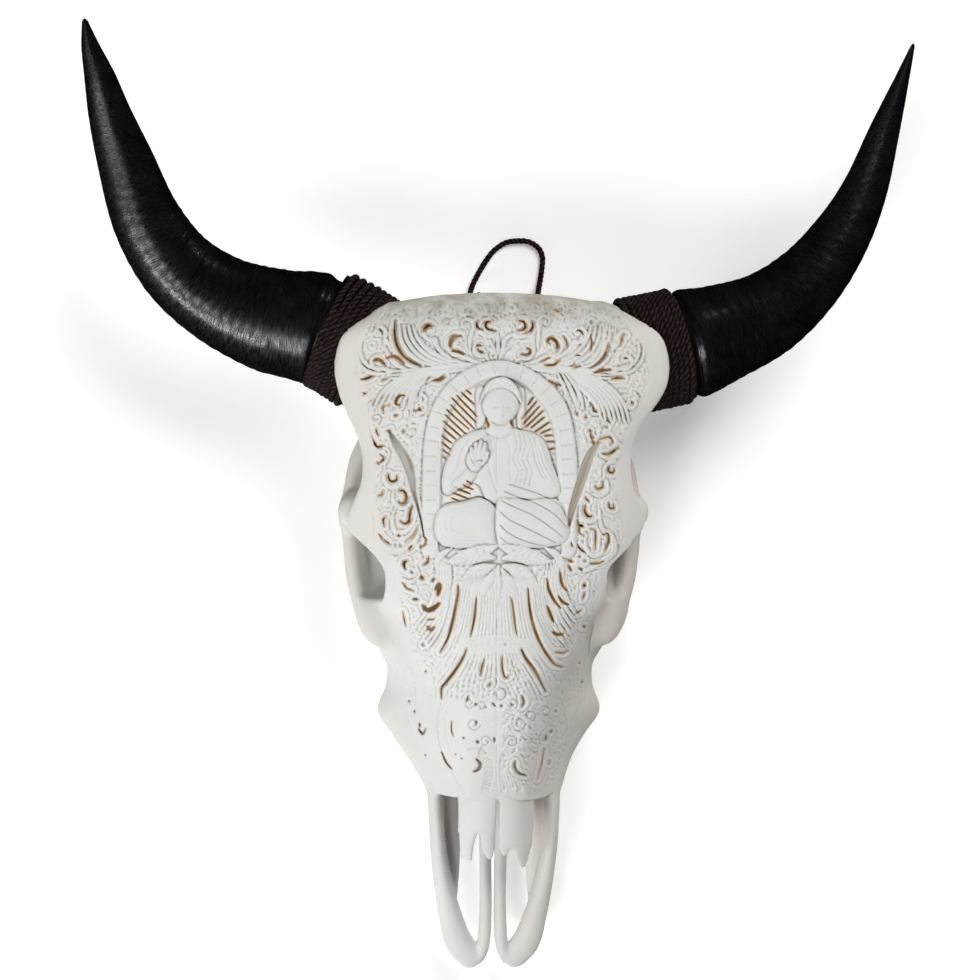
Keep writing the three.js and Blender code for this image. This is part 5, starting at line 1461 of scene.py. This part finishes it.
def carve_all():
    pierce()
    for at in ((404, 320), (440, 312), (512, 308), (600, 322), (372, 345), (640, 372), (628, 352), (378, 372),
               (470, 312), (535, 308), (575, 318), (412, 340), (590, 365), (430, 345), (545, 372), (470, 365),
               (386, 440), (604, 428), (430, 700), (570, 700)):
        eye(at)
    carve_ground()
    plain([(384, 655), (400, 650), (425, 660), (438, 690), (434, 740), (446, 790), (430, 800), (414, 765),
           (400, 725), (394, 690)], 0.75, 5)
    plain([(596, 650), (580, 640), (560, 668), (562, 700), (560, 760), (545, 800), (565, 800), (584, 740),
           (594, 690)], 0.6, 5)
    plain([(448, 752), (470, 746), (496, 750), (496, 800), (460, 800), (450, 780)], 0.6, 5)
    carve_crown()
    carve_panels()
    carve_arch()
    carve_troughs()
    carve_figure()
    carve_leaves()
    carve_skirt()
    carve_nose()
    # joint of the two halves of the face
    groove([(498, 372), (497.4, 390)], 0.3, 0.5)
    groove([(497, 430), (496.6, 470), (497.4, 520), (497, 600), (496.6, 690), (497, 760), (497.4, 812)],
            0.4, 0.55)
    u, v = US[:, None], VS[None, :]
    rise[:] = np.clip(rise * 1.3, -3.3, 5.1)
    rise[:] += 0.05 * noise2(u, v, 1.4, 41) + 0.1 * noise2(u, v, 6, 42)
    cut, d = within(DOMAIN, 12)
    fade = np.zeros_like(rise)
    fade[cut] = smooth((d - 0.5) / 6)
    rise[:] *= fade
    rise[:] -= 0.35 * np.exp(-(np.maximum(gap, 0) / 1.1) ** 2)
    domain = np.full_like(rise, -12)
    domain[cut] = np.clip(d, -12, 12)
    return domain


domain = carve_all()


def between(table, a, b):
    """Value of a table between its cells."""
    a = np.clip(a, 0, table.shape[0] - 1.001)
    b = np.clip(b, 0, table.shape[1] - 1.001)
    i, j = a.astype(int), b.astype(int)
    s, t = a - i, b - j
    return ((table[i, j] * (1 - s) + table[i + 1, j] * s) * (1 - t)
            + (table[i, j + 1] * (1 - s) + table[i + 1, j + 1] * s) * t)


def sample(table, u, v):
    return between(table, (u - DRAWN[0]) * DENSE, (v - DRAWN[1]) * DENSE)


def edges_at(ys):
    """Leftmost and rightmost x of the face for each y."""
    out = []
    for y in ys:
        half = outline_at(y)[:, 0].max()
        out.append((lean(-half, y), lean(half, y)))
    return np.array(out, np.float32)


class Face:
    """The plain face and its carving over a grid of x and y."""

    def __init__(self, xs, ys):
        self.xs, self.ys = xs, ys
        self.plain = face_height(xs, ys)
        x, y = xs[:, None], ys[None, :]
        u, v = seen(x, y, self.plain)
        self.carving = sample(rise, u, v)
        self.hole = sample(gap, u, v) * STEP
        # painted brown shade of the troughs
        self.trough_shade = sample(trough_shade_table, u, v)
        edge = edges_at(ys)
        rim = np.minimum(x - edge[:, 0][None, :], edge[:, 1][None, :] - x)
        rim = rim - 4 - 5 * smooth((-150 - y) / 40)
        self.domain = np.minimum(sample(domain, u, v) * STEP, rim)
        self.carving *= smooth(self.domain / 4)

    def read(self, table, x, y):
        step_x, step_y = self.xs[1] - self.xs[0], self.ys[1] - self.ys[0]
        return between(table, (x - self.xs[0]) / step_x, (y - self.ys[0]) / step_y)


def vertex_normals(verts, quads, tris):
    total = np.zeros_like(verts)
    for faces in (quads, tris):
        if not len(faces):
            continue
        p = verts[faces]
        n = np.cross(p[:, 2] - p[:, 0], p[:, -1] - p[:, 1]) if faces.shape[1] == 4 else np.cross(
            p[:, 1] - p[:, 0], p[:, 2] - p[:, 0])
        for k in range(faces.shape[1]):
            for axis in range(3):
                total[:, axis] += np.bincount(faces[:, k], n[:, axis], len(verts))
    return unit(total)


def blurred(table, passes):
    out = table.copy()
    for _ in range(passes):
        for axis in (0, 1):
            out = (np.roll(out, 1, axis) + 2 * out + np.roll(out, -1, axis)) / 4
    return out


def carved_sheet(bone):
    """Carved sheet over the face, meshed on a grid of x, y and height over the plain face."""
    xs = np.arange(FACE_LOW[0], FACE_HIGH[0], FACE_STEP).astype(np.float32)
    ys = np.arange(FACE_LOW[1], FACE_HIGH[1], FACE_STEP).astype(np.float32)
    ws = np.arange(-6 * LEVEL_STEP, 6.1 * LEVEL_STEP, LEVEL_STEP).astype(np.float32)
    face = Face(xs, ys)
    h = (face.carving + 0.03)[:, :, None]
    w = ws[None, None, :]
    field = np.maximum(w - h, -(face.hole[:, :, None] + FLARE * (h - w)))
    field = np.maximum(field, -(face.domain[:, :, None] + 1.5))
    field = np.maximum(field, -(w + CARVED))
    grid = openvdb.FloatGrid(8.0)
    grid.copyFromArray(np.ascontiguousarray(field, np.float32))
    points, tris, quads = grid.convertToPolygons(isovalue=0.0, adaptivity=0.0)
    points = points.astype(np.float64)
    x = xs[0] + points[:, 0] * FACE_STEP
    y = ys[0] + points[:, 1] * FACE_STEP
    level_w = ws[0] + points[:, 2] * LEVEL_STEP
    height = face.read(face.carving, x, y)
    # painted shade: the depth under the carved surface browns the opening walls; the rim behind the horn
    # bases gets none and stays bone white
    behind = smooth((y - 134) / 4) * smooth((np.abs(x) - 52) / 4)
    deep = (height - level_w) * (1 - behind)
    verts = np.stack([x, y, face.read(face.plain, x, y) + level_w], axis=1)
    normals = vertex_normals(verts, quads, tris)
    # painted shade and some grime: grey where a point lies below its blurred surroundings, brown from the
    # painted trough shade
    flat = blurred(face.carving, 6)
    grime_and_shade = np.maximum(face.read(flat - face.carving, x, y), face.read(face.trough_shade, x, y))
    # the underside lies on the body and is left off
    under = level_w[quads].max(axis=1) < -CARVED + 0.4
    quads = quads[~under]
    middle = verts[quads].mean(axis=1)
    part = (middle[:, 0] > FACE_SPLIT_X).astype(int) + 2 * np.digitize(middle[:, 1], FACE_SPLIT_Y)
    for k in range(6):
        mine = quads[part == k]
        used, faces = np.unique(mine, return_inverse=True)
        piece = make_mesh("carved_face_%d" % (k + 1), verts[used], faces.reshape(-1, 4),
                          values={"deep": deep[used], "grime_and_shade": grime_and_shade[used]}, normals=normals[used])
        piece.data.materials.append(bone)
        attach(piece, "root")
        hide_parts("skull")


def body_mesh(bone):
    """The whole bone under the sheet, its walls marked with their depth for the painted brown shade in the
    openings.
    """
    field, hollow = bone_field()
    x, y = AXES[0], AXES[1]
    cols = slice(int((OPEN_LOW[0] - LOW[0]) / BODY_STEP), int((OPEN_HIGH[0] - LOW[0]) / BODY_STEP))
    rows = slice(int((OPEN_LOW[1] - LOW[1]) / BODY_STEP), int((OPEN_HIGH[1] - LOW[1]) / BODY_STEP))
    face = Face(x[cols], y[rows])
    z = AXES[2][None, None, :]
    part = field[cols, rows]
    depth = face.plain[:, :, None] - z
    outside = 0.9 - face.domain[:, :, None]
    lowered = np.maximum(depth - SHEET_SEAT - 1.5 * smooth((-1.5 - face.carving) / 1.2)[:, :, None], outside)
    opened = np.maximum(np.maximum(face.hole[:, :, None] - 0.4, depth - OPENING_DEPTH), outside)
    np.maximum(part, -np.minimum(lowered, opened), out=part)
    field = np.maximum(field, np.minimum(-z, FAR))
    verts, quads, tris = skin(field, LOW, BODY_STEP, 0.05)
    px, py, pz = verts.T
    plain_z = face.read(face.plain, px, py)
    within_face = face.read(face.domain, px, py)
    inner = (px > face.xs[0]) & (px < face.xs[-1]) & (py > face.ys[0]) & (py < face.ys[-1])
    in_hollow = pz > hollow_floor(py) - 3
    in_hollow &= np.abs(px) < hollow_limit(py) + 2
    in_hollow &= py < HOLLOW_FLOOR[0][0] + 1
    cell = np.clip(np.rint((verts - LOW) / BODY_STEP).astype(int), 0, np.array(hollow.shape) - 1)
    in_hollow &= np.abs(hollow[tuple(cell.T)]) < ON_WALL
    in_slot = face.read(face.hole, px, py) < 1.2
    in_slot &= plain_z - pz < np.where(np.abs(px) > 54, 7, OPENING_DEPTH + 1)
    in_slot &= py < 136
    inner &= in_hollow | in_slot
    # depth on the walls of the hollow and the openings, painted as brown shade by the bone material
    deep = np.where(inner, smooth(within_face - 0.5) * np.clip(plain_z - pz, 0, DEEPEST), 0)
    piece = make_mesh("bone_body", verts, quads, tris, values={"deep": deep, "grime_and_shade": np.zeros(len(verts))})
    piece.data.materials.append(bone)
    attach(piece, "root")
    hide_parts("skull")


def core_radius(s, line):
    t = np.clip((s - line.seam) / 105, 0, 1)
    return 33.1 * (1 - 0.42 * t - 0.12 * t * t)


def horn_mesh(side, horn):
    line = LINES[side]
    seed = 5 if side == "left" else 9
    outer_s = np.concatenate([[line.seam, line.seam + 0.4], np.arange(line.seam + 1.2, line.length - 1, 1.3),
                              line.length - np.array([0.8, 0.5, 0.2])])
    sides = 56
    angle = np.linspace(0, 2 * np.pi, sides, endpoint=False)
    point, _, across, over, radius = line.at(outer_s)
    rim = line.wrap_end
    radius = np.where(outer_s < rim + 1.5, BASE_RADIUS,
                      radius + 3 * np.exp(-((outer_s - rim - 8) / 16) ** 2) * smooth((outer_s - rim - 1) / 5))
    s, a = outer_s[:, None], angle[None, :]
    wander = 5.0 * noise2(np.cos(a) * 3 + 7 + s * 0.0, np.sin(a) * 3 + s / 34, 1.0, seed)
    fade = 1 - smooth((s - 0.45 * line.length) / (0.3 * line.length))
    rings_wave = 0.16 * np.sin((s + wander) * 2 * np.pi / 9.2)
    rough = noise2(np.cos(a) * 9 + 20 + 0 * s, np.sin(a) * 9 + s / 2.2, 1.0, seed + 1)
    relief = (rings_wave + 0.13 * rough) * (0.25 + 0.75 * fade) * smooth((s - rim) / 3)
    tip = np.sqrt(np.clip((line.length - outer_s) / 2.0, 0.02, 1))
    r = np.minimum(radius[:, None] - 0.55 + relief * np.minimum(radius[:, None] / 30, 1), radius[:, None])
    r = np.maximum(r, 0.4) * tip[:, None]
    outer = around(point, across, over, r, a)
    inner_s = np.linspace(line.seam + 104, line.seam, 30)
    point, _, across, over, _ = line.at(inner_s)
    r = (core_radius(inner_s, line) + 0.6) * np.sqrt(np.clip((line.seam + 108 - inner_s) / 20, 0, 1))
    inner = around(point, across, over, r[:, None], a)
    verts, quads, tris = tube_faces(np.concatenate([inner, outer]))
    run = np.repeat(np.concatenate([inner_s, outer_s]), sides)
    about = np.tile(angle * 30, len(inner_s) + len(outer_s))
    piece = make_mesh("horn_sheath_" + side, verts, quads, tris, flip=True,
                      values={"run": np.append(run, (inner_s[0], line.length)),
                              "about": np.append(about, (0, 0))})
    piece.data.materials.append(horn)
    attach(piece, "root")
    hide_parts("horn_" + side)


def rope_wrap(side, cord):
    line = LINES[side]
    left = side == "left"
    rng = np.random.default_rng(21 if left else 22)
    span = line.wrap_end - WRAP_FROM - WRAP_CORD
    turns = int(round(span / (WRAP_CORD * 0.96)))
    t = np.linspace(0, turns, turns * 210 + 1)
    loose = np.interp(t, np.linspace(0, turns, 40), rng.uniform(-0.3, 0.3, 40))
    s = WRAP_FROM + WRAP_CORD / 2 + span * t / turns + loose
    top, more = (0.0, 4.2) if left else (np.pi, 1.2)
    swell = lambda a: more * np.clip(np.cos(a - top), 0, 1) ** 1.5
    point, _, across, over, _ = line.at(s)
    angle = 2 * np.pi * t + (math.radians(200) if left else math.radians(340))
    ends = np.minimum(t, turns - t) * 264
    lift = np.interp(t, np.linspace(0, turns, 60), rng.uniform(-0.35, 0.1, 60))
    r = BASE_RADIUS + WRAP_CORD / 2 + 0.05 + swell(angle) + lift - 0.9 * (1 - smooth(ends / 10))
    way = point + across * (r * np.cos(angle))[:, None] + over * (r * np.sin(angle))[:, None]
    shape, values = twisted(even(way, 1.4), WRAP_CORD / 2 * 1.12, 12, 15.0, depth=0.36, wander=0.05,
                            seed=31 if left else 32)
    verts, quads, tris = shape
    strands = make_mesh("rope_wrap_cord_" + side, verts, quads, tris, values)
    # painted shade: a dark under layer that closes the gaps between the turns and stands in for the shadow
    # there
    sides = 96
    angle = np.linspace(0, 2 * np.pi, sides, endpoint=False)
    stops = np.array([WRAP_FROM + 0.8, WRAP_FROM + 1.2, line.wrap_end - 1.2, line.wrap_end - 0.8])
    point, _, across, over, _ = line.at(stops)
    rings = []
    for k, high in enumerate((False, True, True, False)):
        r = BASE_RADIUS + (1.3 + swell(angle) if high else 0.15 + 0 * angle)
        rings.append(point[k] + across[k] * (r * np.cos(angle))[:, None]
                     + over[k] * (r * np.sin(angle))[:, None])
    verts, quads, _ = tube_faces(np.array(rings))
    i = np.arange(sides)
    j = (i + 1) % sides
    back = np.stack([3 * sides + i, 3 * sides + j, j, i], axis=1)
    under = make_mesh("rope_wrap_gap_shade_" + side, verts[:-2], np.vstack([quads, back]))
    for piece in (strands, under):
        piece.data.materials.append(cord)
        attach(piece, "root")
        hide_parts("rope_wrap_" + side)


# Materials
class Nodes:
    """Short hand for building one material's nodes."""

    def __init__(self, name):
        self.material = bpy.data.materials.new(name)
        self.material.use_nodes = True
        self.tree = self.material.node_tree
        self.shader = self.tree.nodes["Principled BSDF"]

    def add(self, kind, **values):
        node = self.tree.nodes.new(kind)
        for key, value in values.items():
            setattr(node, key, value)
        return node

    def link(self, source, target):
        self.tree.links.new(source, target)

    def feed(self, name, source):
        self.link(source, self.shader.inputs[name])

    def fix(self, name, value):
        self.shader.inputs[name].default_value = value

    def place(self):
        return self.add("ShaderNodeTexCoord").outputs["Object"]

    def value(self, name):
        return self.add("ShaderNodeAttribute", attribute_name=name).outputs["Fac"]

    def math(self, kind, a, b=0.0):
        node = self.add("ShaderNodeMath", operation=kind)
        for socket, source in zip(node.inputs, (a, b)):
            if isinstance(source, (int, float)):
                socket.default_value = source
            else:
                self.link(source, socket)
        return node.outputs["Value"]

    def laid(self, run, about):
        """Vector whose first two parts follow a strand or a horn, at the given fineness."""
        node = self.add("ShaderNodeCombineXYZ")
        self.link(self.math("MULTIPLY", self.value("run"), run), node.inputs["X"])
        self.link(self.math("MULTIPLY", self.value("about"), about), node.inputs["Y"])
        return node.outputs["Vector"]

    def noise(self, scale, detail=4.0, roughness=0.5, at=None):
        node = self.add("ShaderNodeTexNoise")
        node.inputs["Scale"].default_value = scale
        node.inputs["Detail"].default_value = detail
        node.inputs["Roughness"].default_value = roughness
        self.link(at or self.place(), node.inputs["Vector"])
        return node.outputs["Fac"]

    def ramp(self, source, *stops):
        node = self.add("ShaderNodeValToRGB")
        ramp = node.color_ramp
        while len(ramp.elements) < len(stops):
            ramp.elements.new(0.5)
        for element, (position, colour) in zip(ramp.elements, stops):
            element.position = position
            element.color = (*colour, 1)
        self.link(source, node.inputs["Fac"])
        return node.outputs["Color"]

    def spread(self, source, low, high, out_low=0.0, out_high=1.0):
        node = self.add("ShaderNodeMapRange")
        for key, value in (("From Min", low), ("From Max", high), ("To Min", out_low), ("To Max", out_high)):
            node.inputs[key].default_value = value
        self.link(source, node.inputs["Value"])
        return node.outputs["Result"]

    def mix(self, factor, a, b):
        node = self.add("ShaderNodeMix", data_type="RGBA")
        for socket, kind, value in (("Factor", "VALUE", factor), ("A", "RGBA", a), ("B", "RGBA", b)):
            target = [q for q in node.inputs if q.name == socket and q.type == kind][0]
            if isinstance(value, (int, float)):
                target.default_value = value
            elif isinstance(value, tuple):
                target.default_value = (*value, 1)
            else:
                self.link(value, target)
        return [q for q in node.outputs if q.type == "RGBA"][0]

    def bump(self, source, depth, strength=1.0, below=None):
        node = self.add("ShaderNodeBump")
        node.inputs["Strength"].default_value = strength
        node.inputs["Distance"].default_value = depth * MM
        self.link(source, node.inputs["Height"])
        if below is not None:
            self.link(below, node.inputs["Normal"])
        return node.outputs["Normal"]


def bone_material():
    n = Nodes("bleached_bone")
    broad = n.ramp(n.noise(14, 3), (0.35, (0.70, 0.705, 0.69)), (0.62, (0.745, 0.75, 0.74)))
    place = n.add("ShaderNodeSeparateXYZ")
    n.link(n.place(), place.inputs["Vector"])
    side = n.spread(n.math("ABSOLUTE", place.outputs["X"]), 0.06, 0.115, 0, 0.55)
    base = n.mix(side, broad, (0.71, 0.67, 0.59))
    # painted shade: grey-brown on the low parts of the bone, stronger towards the right
    low = n.math("MULTIPLY", n.spread(place.outputs["Z"], 0.13, 0.1, 0, 0.5),
                 n.spread(place.outputs["X"], -0.02, 0.06, 0.25, 1))
    base = n.mix(low, base, (0.44, 0.385, 0.325))
    # painted shade: grey-beige on the back edge of the poll where it tilts away from the light
    poll = n.math("MULTIPLY", n.spread(place.outputs["Y"], 0.134, 0.156, 0, 1.0),
                  n.spread(n.noise(90, 5, 0.65), 0.35, 0.6, 0.35, 1.0))
    base = n.mix(poll, base, (0.40, 0.37, 0.305))
    warm = n.spread(n.noise(45, 4), 0.5, 0.75, 0, 0.3)
    base = n.mix(warm, base, (0.70, 0.655, 0.57))
    # painted shade and some grime in the grooves, and painted brown shade in the troughs
    grime_and_shade = n.value("grime_and_shade")
    base = n.mix(n.spread(grime_and_shade, 0.05, 0.5, 0, 0.75), base, (0.42, 0.395, 0.34))
    base = n.mix(n.spread(grime_and_shade, 0.8, 1.7, 0, 0.9), base, (0.30, 0.20, 0.10))
    deep = n.value("deep")
    # painted shade: the walls of the openings and the hollow browner and darker the deeper they lie, greyer
    # at the nose
    wall_depth_shade = n.ramp(n.spread(deep, 0.3, 7.3), (0.0, (0.80, 0.67, 0.46)), (0.25, (0.68, 0.49, 0.27)),
                  (0.5, (0.52, 0.35, 0.18)), (0.9, (0.40, 0.27, 0.15)))
    nose = n.spread(place.outputs["Y"], -0.115, -0.15, 0, 0.8)
    wall_depth_shade = n.mix(nose, wall_depth_shade, (0.40, 0.375, 0.325))
    colour = n.mix(n.spread(deep, 0.25, 0.9), base, wall_depth_shade)
    # painted glow: emission that stands in for daylight soaking through the thin bone into the openings
    painted_glow = n.ramp(n.noise(55, 3), (0.38, (0.035, 0.02, 0.01)), (0.52, (0.085, 0.055, 0.03)),
                   (0.66, (0.21, 0.155, 0.095)))
    painted_glow = n.mix(nose, painted_glow, (0.07, 0.062, 0.05))
    n.feed("Emission Color", n.mix(n.spread(deep, 1.5, 5.0), (0.0, 0.0, 0.0), painted_glow))
    n.fix("Emission Strength", 1.0)
    n.feed("Base Color", colour)
    n.fix("Roughness", 0.62)
    n.fix("IOR", 1.45)
    n.fix("Specular IOR Level", 0.35)
    fine = n.bump(n.noise(900, 5, 0.6), 0.06, 0.6)
    n.feed("Normal", n.bump(n.noise(160, 4, 0.6), 0.25, 0.5, fine))
    return n.material


def horn_material():
    n = Nodes("black_horn")
    colour = n.ramp(n.noise(60, 5), (0.3, (0.0015, 0.0015, 0.002)), (0.75, (0.006, 0.0055, 0.006)))
    n.feed("Base Color", colour)
    across = n.noise(1.0, 5, 0.6, at=n.laid(2.6, 0.12))
    n.feed("Roughness", n.spread(across, 0.44, 0.6, 0.1, 0.6))
    n.fix("IOR", 1.52)
    n.fix("Specular IOR Level", 0.5)
    fine = n.bump(n.noise(500, 5, 0.65), 0.06, 0.4)
    rings = n.bump(across, 0.3, 0.55, fine)
    along = n.bump(n.noise(1.0, 3, 0.5, at=n.laid(0.03, 0.9)), 0.12, 0.35, rings)
    n.feed("Normal", along)
    return n.material


def cord_material():
    n = Nodes("dark_cord")
    fibre = n.noise(1.0, 4, 0.65, at=n.laid(0.45, 2.6))
    colour = n.ramp(fibre, (0.40, (0.006, 0.0032, 0.0032)), (0.52, (0.02, 0.0115, 0.0105)),
                    (0.63, (0.15, 0.10, 0.094)))
    # painted shade in the crevices between the strands, darkest away from each strand's ridge
    colour = n.mix(n.spread(n.value("ridge"), 0.3, 0.95), (0.0025, 0.0013, 0.0013), colour)
    n.feed("Base Color", colour)
    n.fix("Roughness", 0.8)
    n.fix("Specular IOR Level", 0.12)
    n.feed("Normal", n.bump(fibre, 0.35, 0.8, n.bump(n.noise(2600, 3, 0.7), 0.15, 0.6)))
    return n.material


def enamel_material():
    n = Nodes("tooth_enamel")
    colour = n.ramp(n.noise(120, 4), (0.35, (0.42, 0.31, 0.17)), (0.65, (0.74, 0.66, 0.5)))
    n.feed("Base Color", colour)
    n.fix("Roughness", 0.35)
    n.feed("Normal", n.bump(n.noise(400, 4, 0.6), 0.15, 0.6))
    return n.material


def floor_material():
    n = Nodes("pale_floor")
    colour = n.ramp(n.noise(3, 3), (0.3, (0.93, 0.93, 0.93)), (0.7, (0.96, 0.96, 0.96)))
    n.feed("Base Color", colour)
    n.fix("Roughness", 0.9)
    n.fix("Specular IOR Level", 0.1)
    n.fix("Emission Color", (1, 1, 1, 1))
    n.fix("Emission Strength", 0.28)
    n.feed("Normal", n.bump(n.noise(700, 3), 0.05, 0.3))
    return n.material


bone = bone_material()
cord = cord_material()
cord_piece.data.materials.append(cord)
carved_sheet(bone)
body_mesh(bone)
horn = horn_material()
for side in ("left", "right"):
    horn_mesh(side, horn)
    rope_wrap(side, cord)

enamel = enamel_material()
for piece in bpy.context.scene.objects:
    if piece.type == "MESH" and "tooth_" in piece.name:
        piece.data.materials.clear()
        piece.data.materials.append(enamel)

# Surface, light and colour
FLOOR_HALF = 3000
corners = np.array([(-1, -1, 0), (1, -1, 0), (1, 1, 0), (-1, 1, 0)], float)
floor = make_mesh("floor", corners * FLOOR_HALF, [(0, 1, 2, 3)])
floor.data.materials.append(floor_material())
floor.visible_glossy = False


def area_light(name, place, target, width, power, colour=(1, 1, 1)):
    data = bpy.data.lights.new(name, "AREA")
    data.shape = "DISK"
    data.size = width
    data.energy = power
    data.color = colour
    lamp = bpy.data.objects.new(name, data)
    bpy.context.scene.collection.objects.link(lamp)
    lamp.location = place
    lamp.rotation_euler = (Vector(place) - Vector(target)).to_track_quat("Z", "Y").to_euler()
    return lamp


area_light("key", (-1.9, -1.6, 1.25), (0, 0, 0.1), 0.7, 36, (1, 0.99, 0.965))
area_light("window", (-1.15, -1.5, 2.3), (0, 0, 0.1), 1.0, 30, (0.95, 0.975, 1))
fill = area_light("fill", (1.1, 1.7, 2.2), (0, 0, 0.1), 1.8, 60, (1, 0.99, 0.97))
fill.visible_glossy = False
area_light("glint", (1.5, 2.2, 0.9), (0, 0.2, 0.1), 0.16, 3, (1, 1, 1))


def studio():
    """Pale walls under a darker ceiling."""
    world = bpy.data.worlds.new("studio")
    world.use_nodes = True
    tree = world.node_tree
    place = tree.nodes.new("ShaderNodeTexCoord")
    split = tree.nodes.new("ShaderNodeSeparateXYZ")
    tree.links.new(place.outputs["Generated"], split.inputs["Vector"])
    level = tree.nodes.new("ShaderNodeMapRange")
    for key, value in (("From Min", 0.2), ("From Max", 0.95), ("To Min", 2.5), ("To Max", 0.7)):
        level.inputs[key].default_value = value
    tree.links.new(split.outputs["Z"], level.inputs["Value"])
    tree.links.new(level.outputs["Result"], tree.nodes["Background"].inputs["Strength"])
    world.cycles_visibility.glossy = False
    bpy.context.scene.world = world


studio()
bpy.context.scene.view_settings.view_transform = "Standard"
